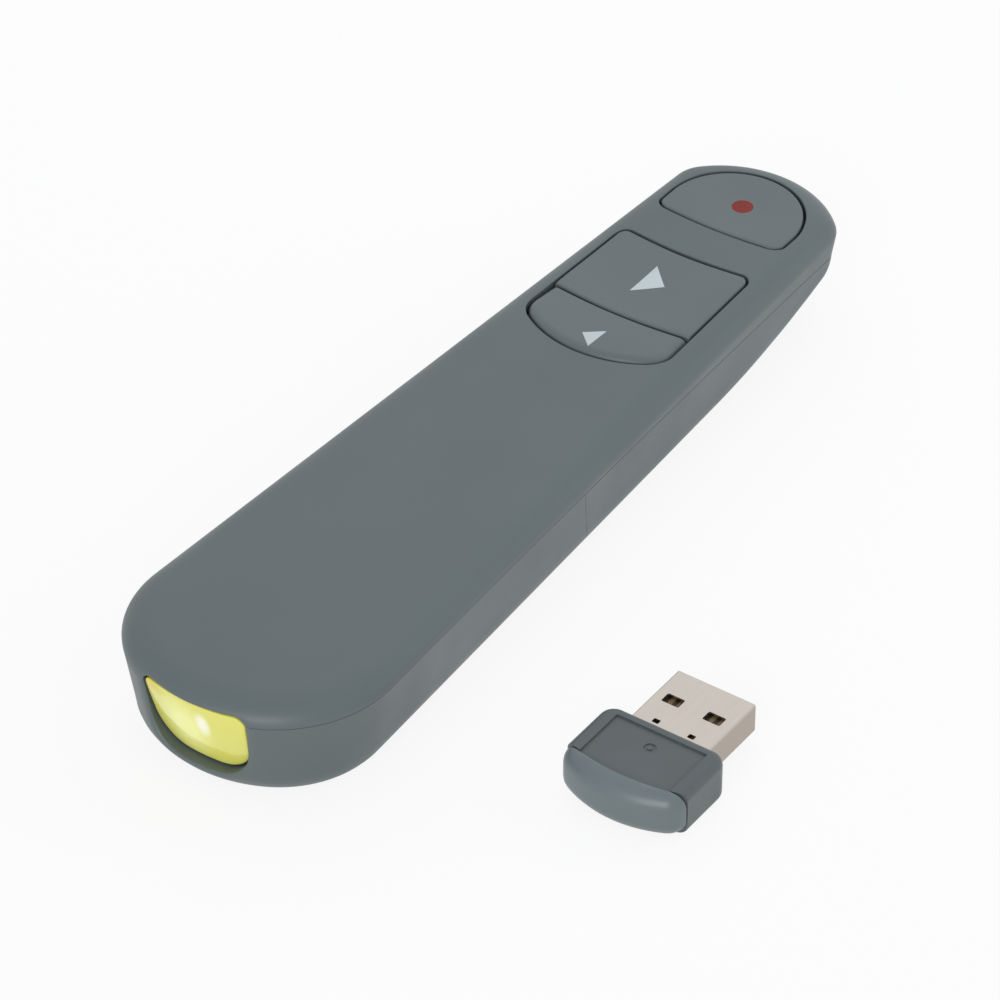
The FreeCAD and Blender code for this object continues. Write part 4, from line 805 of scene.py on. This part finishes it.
def nextTop(x, y):
    return softDish(x, y, keys["nextMiddle"], keys["nextReach"], keys["nextDish"])


def backTop(x, y):
    fall = (keys["backRise"] + keys["backDrop"]) / (opening["divider"] - opening["pairTail"])
    return case["height"] + keys["backRise"] - fall * (x - opening["pairTail"])


def arrow(middleX, length, baseY, pointY):
    half, low = length / 2, keys["arrowLow"]
    corners = [at(middleX - half, baseY, low), at(middleX + half, baseY, low), at(middleX, pointY, low)]
    bm = bmesh.new()
    loop = bmesh.ops.create_circle(bm, cap_ends=True, segments=3, radius=mm)["verts"]
    for vert, corner in zip(loop, corners):
        vert.co = corner
    grown = bmesh.ops.extrude_face_region(bm, geom=bm.faces[:])["geom"]
    lifted = [g for g in grown if isinstance(g, bmesh.types.BMVert)]
    bmesh.ops.translate(bm, verts=lifted, vec=Vector((0, 0, keys["arrowTall"] * mm)))
    bmesh.ops.recalc_face_normals(bm, faces=bm.faces)
    return piece("tool", bm)


def key(name, form, markTool, markMaterial, markSlot):
    cap = piece(name + "Key", form, materials["keyGrey"], 35)
    mark = bpy.data.objects.new(name + "Mark", cap.data.copy())
    bpy.context.scene.collection.objects.link(mark)
    mark.data.materials.clear()
    mark.data.materials.append(materials[markMaterial])
    carve(mark, [markTool], "INTERSECT", keep=True)
    carve(cap, [markTool])
    for made, word, slot in ((cap, "_button", "button_grey"), (mark, "_mark", markSlot)):
        evenOut(made, 35)
        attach(made, name + "_key")
        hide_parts(name + word)
    print(name, "key:", len(cap.data.polygons))


def footOf(node):  # level of a key's wide foot
    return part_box(node)[0].z / mm + keys["bossDrop"]


key("laser", capForm(laserSpots, laserTop, keys["laserMiddle"], keys["rim"], 0, keys["laserBoss"],
                     footOf("laser_button")),
    roundTool(keys["dotRadius"], keys["dotLow"], opening["cutHigh"], keys["dotAt"], 0), "dotRed", "mark_red")
key("next", capForm(splitSpots(True), nextTop, keys["nextMiddle"], keys["rim"], keys["rim"],
                    keys["nextBoss"], footOf("next_button")),
    arrow(keys["nextMarkAt"], keys["nextMarkLong"], keys["nextMarkHalf"], -keys["nextMarkHalf"]),
    "arrowPale", "mark_pale")
key("back", capForm(splitSpots(False), backTop, keys["backMiddle"], keys["backRim"], keys["dividerRim"],
                    keys["backBoss"], footOf("back_button")),
    arrow(keys["backMarkAt"], keys["backMarkLong"], keys["backMarkBase"], keys["backMarkPoint"]),
    "arrowPale", "mark_pale")


# Tail window: a leaning, rounded tinted lens

lens = {
    "frontHigh": 0.6, "frontLow": 3.8, "bulge": 0.15, "flatRadius": 27.0, "gap": 0.3, "back": 6.6,
    "rim": 0.2,
}


def lensFront(spot):  # how far in the lens face lies at a place across and up
    y, z = spot
    share = (opening["windowHigh"] - z) / (opening["windowHigh"] - opening["windowLow"])
    lean = (lens["frontLow"] - lens["frontHigh"]) * share - lens["bulge"] * 4 * share * (1 - share)
    return lens["frontHigh"] + lens["flatRadius"] - sqrt((lens["flatRadius"] - lean) ** 2 - y ** 2)


def lensForm():
    outer = shield(-lens["gap"], -lens["gap"])
    rings = [[at(lens["back"], *spot) for spot in outer]]
    rim = lens["rim"]
    for step in range(5):
        turn = step * pi / 8
        inset = lens["gap"] + rim * (1 - cos(turn))
        edge = shield(-inset, -inset)
        rings.append([at(lensFront(spot) + rim * (1 - sin(turn)), *spot) for spot in edge])
    middle = Vector((0, (opening["windowLow"] + opening["windowHigh"]) / 2))
    for share in (0.96, 0.88, 0.78, 0.68, 0.58, 0.48, 0.38, 0.28, 0.19, 0.1, 0.0):
        inner = [middle.lerp(spot, share) for spot in edge]
        rings.append([at(lensFront(spot), *spot) for spot in inner])
    return loft(rings)


window = piece("tailWindow", lensForm(), materials["lensYellow"], 50)
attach(window, "casing")
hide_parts("tail_window")
print("tail window:", len(window.data.polygons))


# Receiver: housing with a sunk panel, curved end cap and folded steel plug

receiver = {
    "aside": -47.6, "tail": 25.0, "tip": 39.0, "half": 9.2, "height": 6.6, "nose": 16.6,
    "tailCorner": 3.0, "tipCorner": 2.2, "round": 1.2, "grooveAt": 28.0, "grooveRadius": 28.0,
    "grooveGap": 0.35, "grooveEdge": 0.18, "capMore": 0.0, "capLift": 0.3, "capRound": 2.4,
    "panelTail": 24.0, "panelTip": 37.4, "panelHalf": 6.9, "panelDeep": 0.3, "panelCorner": 0.2,
    "dimpleAt": 34.6, "dimpleRadius": 0.85, "knobRadius": 0.35, "dimpleDeep": 0.15,
    "hollowTail": 29.2, "hollowTip": 38.5, "hollowHalf": 7.9, "hollowLow": 1.2, "hollowHigh": 5.4,
    "plugRoot": 38.0, "plugTip": 50.15, "plugHalf": 6.0, "plugHigh": 4.5, "plugWall": 0.3,
    "plugRound": 0.3, "plugLevel": 3.3, "mouthTip": 42.0, "hatchAt": 44.7, "hatchLong": 1.75,
    "hatchWide": 2.65, "hatchAside": 3.15, "hatchCorner": 0.22, "notchAt": 40.1, "notchLong": 0.8,
    "notchWide": 1.0, "notchAside": 2.7, "notchCorner": 0.15, "plugEdge": 0.12, "plugLeast": 0.15,
}


def receiverForm(more, height, rounding):
    spots = outline(receiver["tail"], receiver["tip"], receiver["half"], receiver["half"], receiver["nose"],
                    receiver["tailCorner"], 0, receiver["tipCorner"], (16, 10, 10, 8, 12))
    rings = []
    for step in range(7):
        turn = step * pi / 12
        rings.append(ringOf(spots, rounding * (1 - sin(turn)) - more, rounding * (1 - cos(turn)),
                            receiver["aside"]))
    for step in range(7):
        turn = step * pi / 12
        rings.append(ringOf(spots, rounding * (1 - cos(turn)) - more, height - rounding * (1 - sin(turn)),
                            receiver["aside"]))
    return loft(rings)


def grooveTool(change, low=-2.0, high=12.0):
    return roundTool(receiver["grooveRadius"] + change, low, high,
                     receiver["grooveAt"] + receiver["grooveRadius"], receiver["aside"], 720)


def softenGroove(made, change):  # small round edges where the curved groove cuts the body
    bm = bmesh.new()
    bm.from_mesh(made.data)
    bmesh.ops.remove_doubles(bm, verts=bm.verts, dist=0.0005 * mm)
    centre = at(receiver["grooveAt"] + receiver["grooveRadius"], receiver["aside"], 0)
    radius = (receiver["grooveRadius"] + change) * mm
    rim = []
    for edge in bm.edges:
        spread = [abs(hypot(v.co.x - centre.x, v.co.y - centre.y) - radius) for v in edge.verts]
        if max(spread) < 0.004 * mm and len(edge.link_faces) == 2:
            if edge.calc_face_angle(0) > 0.6 and abs(edge.verts[0].co.z - edge.verts[1].co.z) < 4 * mm:
                rim.append(edge)
    bmesh.ops.bevel(bm, geom=rim, offset=receiver["grooveEdge"] * mm, offset_type="OFFSET", segments=3,
                    profile=0.5, affect="EDGES", material=-1, clamp_overlap=True)
    bm.to_mesh(made.data)
    bm.free()


def besideTool(x0, x1, y0, y1, z0, z1, rounding=0.0, upright=False):
    low, high = at(x0, receiver["aside"] + y0, z0), at(x1, receiver["aside"] + y1, z1)
    return blockTool(low, high, rounding * mm, upright)


housing = piece("receiverHousing", receiverForm(0, receiver["height"], receiver["round"]),
                materials["dongleGrey"])
carve(housing, [grooveTool(0)], "INTERSECT")
softenGroove(housing, 0)
half = receiver["panelHalf"]
deep = receiver["height"] - receiver["panelDeep"]
dimple = roundTool(receiver["dimpleRadius"], deep - receiver["dimpleDeep"], 9, receiver["dimpleAt"],
                   receiver["aside"])
carve(dimple, [roundTool(receiver["knobRadius"], 0, deep, receiver["dimpleAt"], receiver["aside"])])
carve(housing, [besideTool(receiver["panelTail"], receiver["panelTip"], -half, half, deep, 9,
                           receiver["panelCorner"], True), dimple])
plugHalf, plugHigh = receiver["plugHalf"], receiver["plugHigh"] / 2
hollow = receiver["hollowHalf"]
carve(housing, [besideTool(receiver["plugRoot"], receiver["mouthTip"], -plugHalf, plugHalf,
                           receiver["plugLevel"] - plugHigh, receiver["plugLevel"] + plugHigh),
                besideTool(receiver["hollowTail"], receiver["hollowTip"], -hollow, hollow,
                           receiver["hollowLow"], receiver["hollowHigh"])])
evenOut(housing)
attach(housing, "receiver")
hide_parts("receiver_housing")

capBody = receiverForm(receiver["capMore"], receiver["height"] + receiver["capLift"], receiver["capRound"])
endCap = piece("receiverEndCap", capBody, materials["endGrey"])
carve(endCap, [grooveTool(receiver["grooveGap"])])
softenGroove(endCap, receiver["grooveGap"])
evenOut(endCap)
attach(endCap, "receiver")
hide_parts("receiver_end_cap")


def plugForm():
    halfAcross, halfHigh, wall = receiver["plugHalf"], receiver["plugHigh"] / 2, receiver["plugWall"]

    def ring(x, inset):
        corner = max(receiver["plugRound"] - inset, receiver["plugLeast"])
        return [at(x, receiver["aside"] + y, receiver["plugLevel"] + z)
                for y, z in roundedSquare(halfAcross - inset, halfHigh - inset, corner, 8, 6)]

    tip, edge = receiver["plugTip"], receiver["plugEdge"]
    rings = [ring(receiver["plugRoot"], 0), ring(tip - edge, 0)]
    for turn in (0.5, 1.05, pi / 2):
        rings.append(ring(tip - edge * (1 - sin(turn)), edge * (1 - cos(turn))))
    for turn in (0.5, 1.05, pi / 2):
        rings.append(ring(tip - edge * (1 - cos(turn)), wall - edge * (1 - sin(turn))))
    rings.append(ring(receiver["plugRoot"] + wall, wall))
    return loft(rings)


plug = piece("plugShell", plugForm(), materials["plugSteel"])
tools = []
for side in (-1, 1):
    for name, low in (("hatch", -1), ("notch", receiver["plugLevel"])):
        middle = side * receiver[name + "Aside"]
        halfLong, halfWide = receiver[name + "Long"] / 2, receiver[name + "Wide"] / 2
        tools.append(besideTool(receiver[name + "At"] - halfLong, receiver[name + "At"] + halfLong,
                                middle - halfWide, middle + halfWide, low, 8,
                                receiver[name + "Corner"], True))
carve(plug, tools)
evenOut(plug)
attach(plug, "receiver")
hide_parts("usb_shell")
print("receiver made")


# Floor, lights and camera

studio = {
    "focal": 198.0, "azimuth": -54.98, "elevation": 38.46, "away": 734.4, "aim": (-8.8, -4.33, 8.1),
    "floorGrey": 0.72, "floorWhite": 0.88, "ambient": 0.72, "skyColour": (0.96, 0.98, 1.0),
}
bm = bmesh.new()
bmesh.ops.create_grid(bm, x_segments=1, y_segments=1, size=3.0, matrix=Matrix.Translation((0, 0, -0.0001)))
floorLook = bpy.data.materials.new("paleFloor")
floorLook.use_nodes = True
nodes, links = floorLook.node_tree.nodes, floorLook.node_tree.links
matt = nodes["Principled BSDF"]
matt.inputs["Base Color"].default_value = (*[studio["floorGrey"]] * 3, 1)
matt.inputs["Roughness"].default_value = 0.9
white = nodes.new("ShaderNodeEmission")
white.inputs["Strength"].default_value = 1.0
rays = nodes.new("ShaderNodeLightPath")
seen = nodes.new("ShaderNodeMath")
seen.operation = "MAXIMUM"
links.new(rays.outputs["Is Camera Ray"], seen.inputs[0])
links.new(rays.outputs["Is Glossy Ray"], seen.inputs[1])
share = nodes.new("ShaderNodeMath")
share.operation = "MULTIPLY"
share.inputs[1].default_value = studio["floorWhite"]
links.new(seen.outputs["Value"], share.inputs[0])
blend = nodes.new("ShaderNodeMixShader")
links.new(share.outputs["Value"], blend.inputs["Fac"])
links.new(matt.outputs["BSDF"], blend.inputs[1])
links.new(white.outputs["Emission"], blend.inputs[2])
links.new(blend.outputs["Shader"], nodes["Material Output"].inputs["Surface"])
floor = piece("floor", bm, floorLook)

world = bpy.data.worlds.new("studioWorld")
bpy.context.scene.world = world
world.use_nodes = True
nodes, links = world.node_tree.nodes, world.node_tree.links
ambient = nodes["Background"]
ambient.inputs["Color"].default_value = (*studio["skyColour"], 1)
ambient.inputs["Strength"].default_value = studio["ambient"]
backdrop = nodes.new("ShaderNodeBackground")
backdrop.inputs["Color"].default_value = (1, 1, 1, 1)
backdrop.inputs["Strength"].default_value = 1.0
rays = nodes.new("ShaderNodeLightPath")
blend = nodes.new("ShaderNodeMixShader")
links.new(rays.outputs["Is Camera Ray"], blend.inputs["Fac"])
links.new(ambient.outputs["Background"], blend.inputs[1])
links.new(backdrop.outputs["Background"], blend.inputs[2])
links.new(blend.outputs["Shader"], nodes["World Output"].inputs["Surface"])

lamps = {
    "overhead": {"place": (0.3, 0.15, 0.35), "size": 0.5, "power": 0.8, "mirrored": False},
    "tailSide": {"place": (-0.8, -0.25, 0.34), "size": 0.5, "power": 3.2, "mirrored": True},
    "tipSide": {"place": (0.3, -0.3, 0.15), "size": 0.25, "power": 0.5, "mirrored": False},
}
for name, lamp in lamps.items():
    light = bpy.data.lights.new(name, "AREA")
    light.shape = "SQUARE"
    light.size = lamp["size"]
    light.energy = lamp["power"]
    holder = bpy.data.objects.new(name, light)
    holder.location = lamp["place"]
    holder.visible_glossy = lamp["mirrored"]
    holder.rotation_mode = "QUATERNION"
    holder.rotation_quaternion = (Vector((0, 0, 0.01)) - holder.location).to_track_quat("-Z", "Y")
    bpy.context.scene.collection.objects.link(holder)

turn, lift = radians(studio["azimuth"]), radians(studio["elevation"])
back = Vector((sin(turn) * cos(lift), -cos(turn) * cos(lift), sin(lift)))
camera = bpy.data.objects.new("camera", bpy.data.cameras.new("camera"))
camera.data.lens = studio["focal"]
camera.data.sensor_width = 36.0
camera.data.clip_start = 0.05
camera.data.clip_end = 50.0
camera.rotation_mode = "QUATERNION"
camera.location = (Vector(studio["aim"]) + back * studio["away"]) * mm
camera.rotation_quaternion = (-back).to_track_quat("-Z", "Y")
bpy.context.scene.collection.objects.link(camera)
bpy.context.scene.camera = camera
bpy.context.scene.view_settings.view_transform = "Standard"
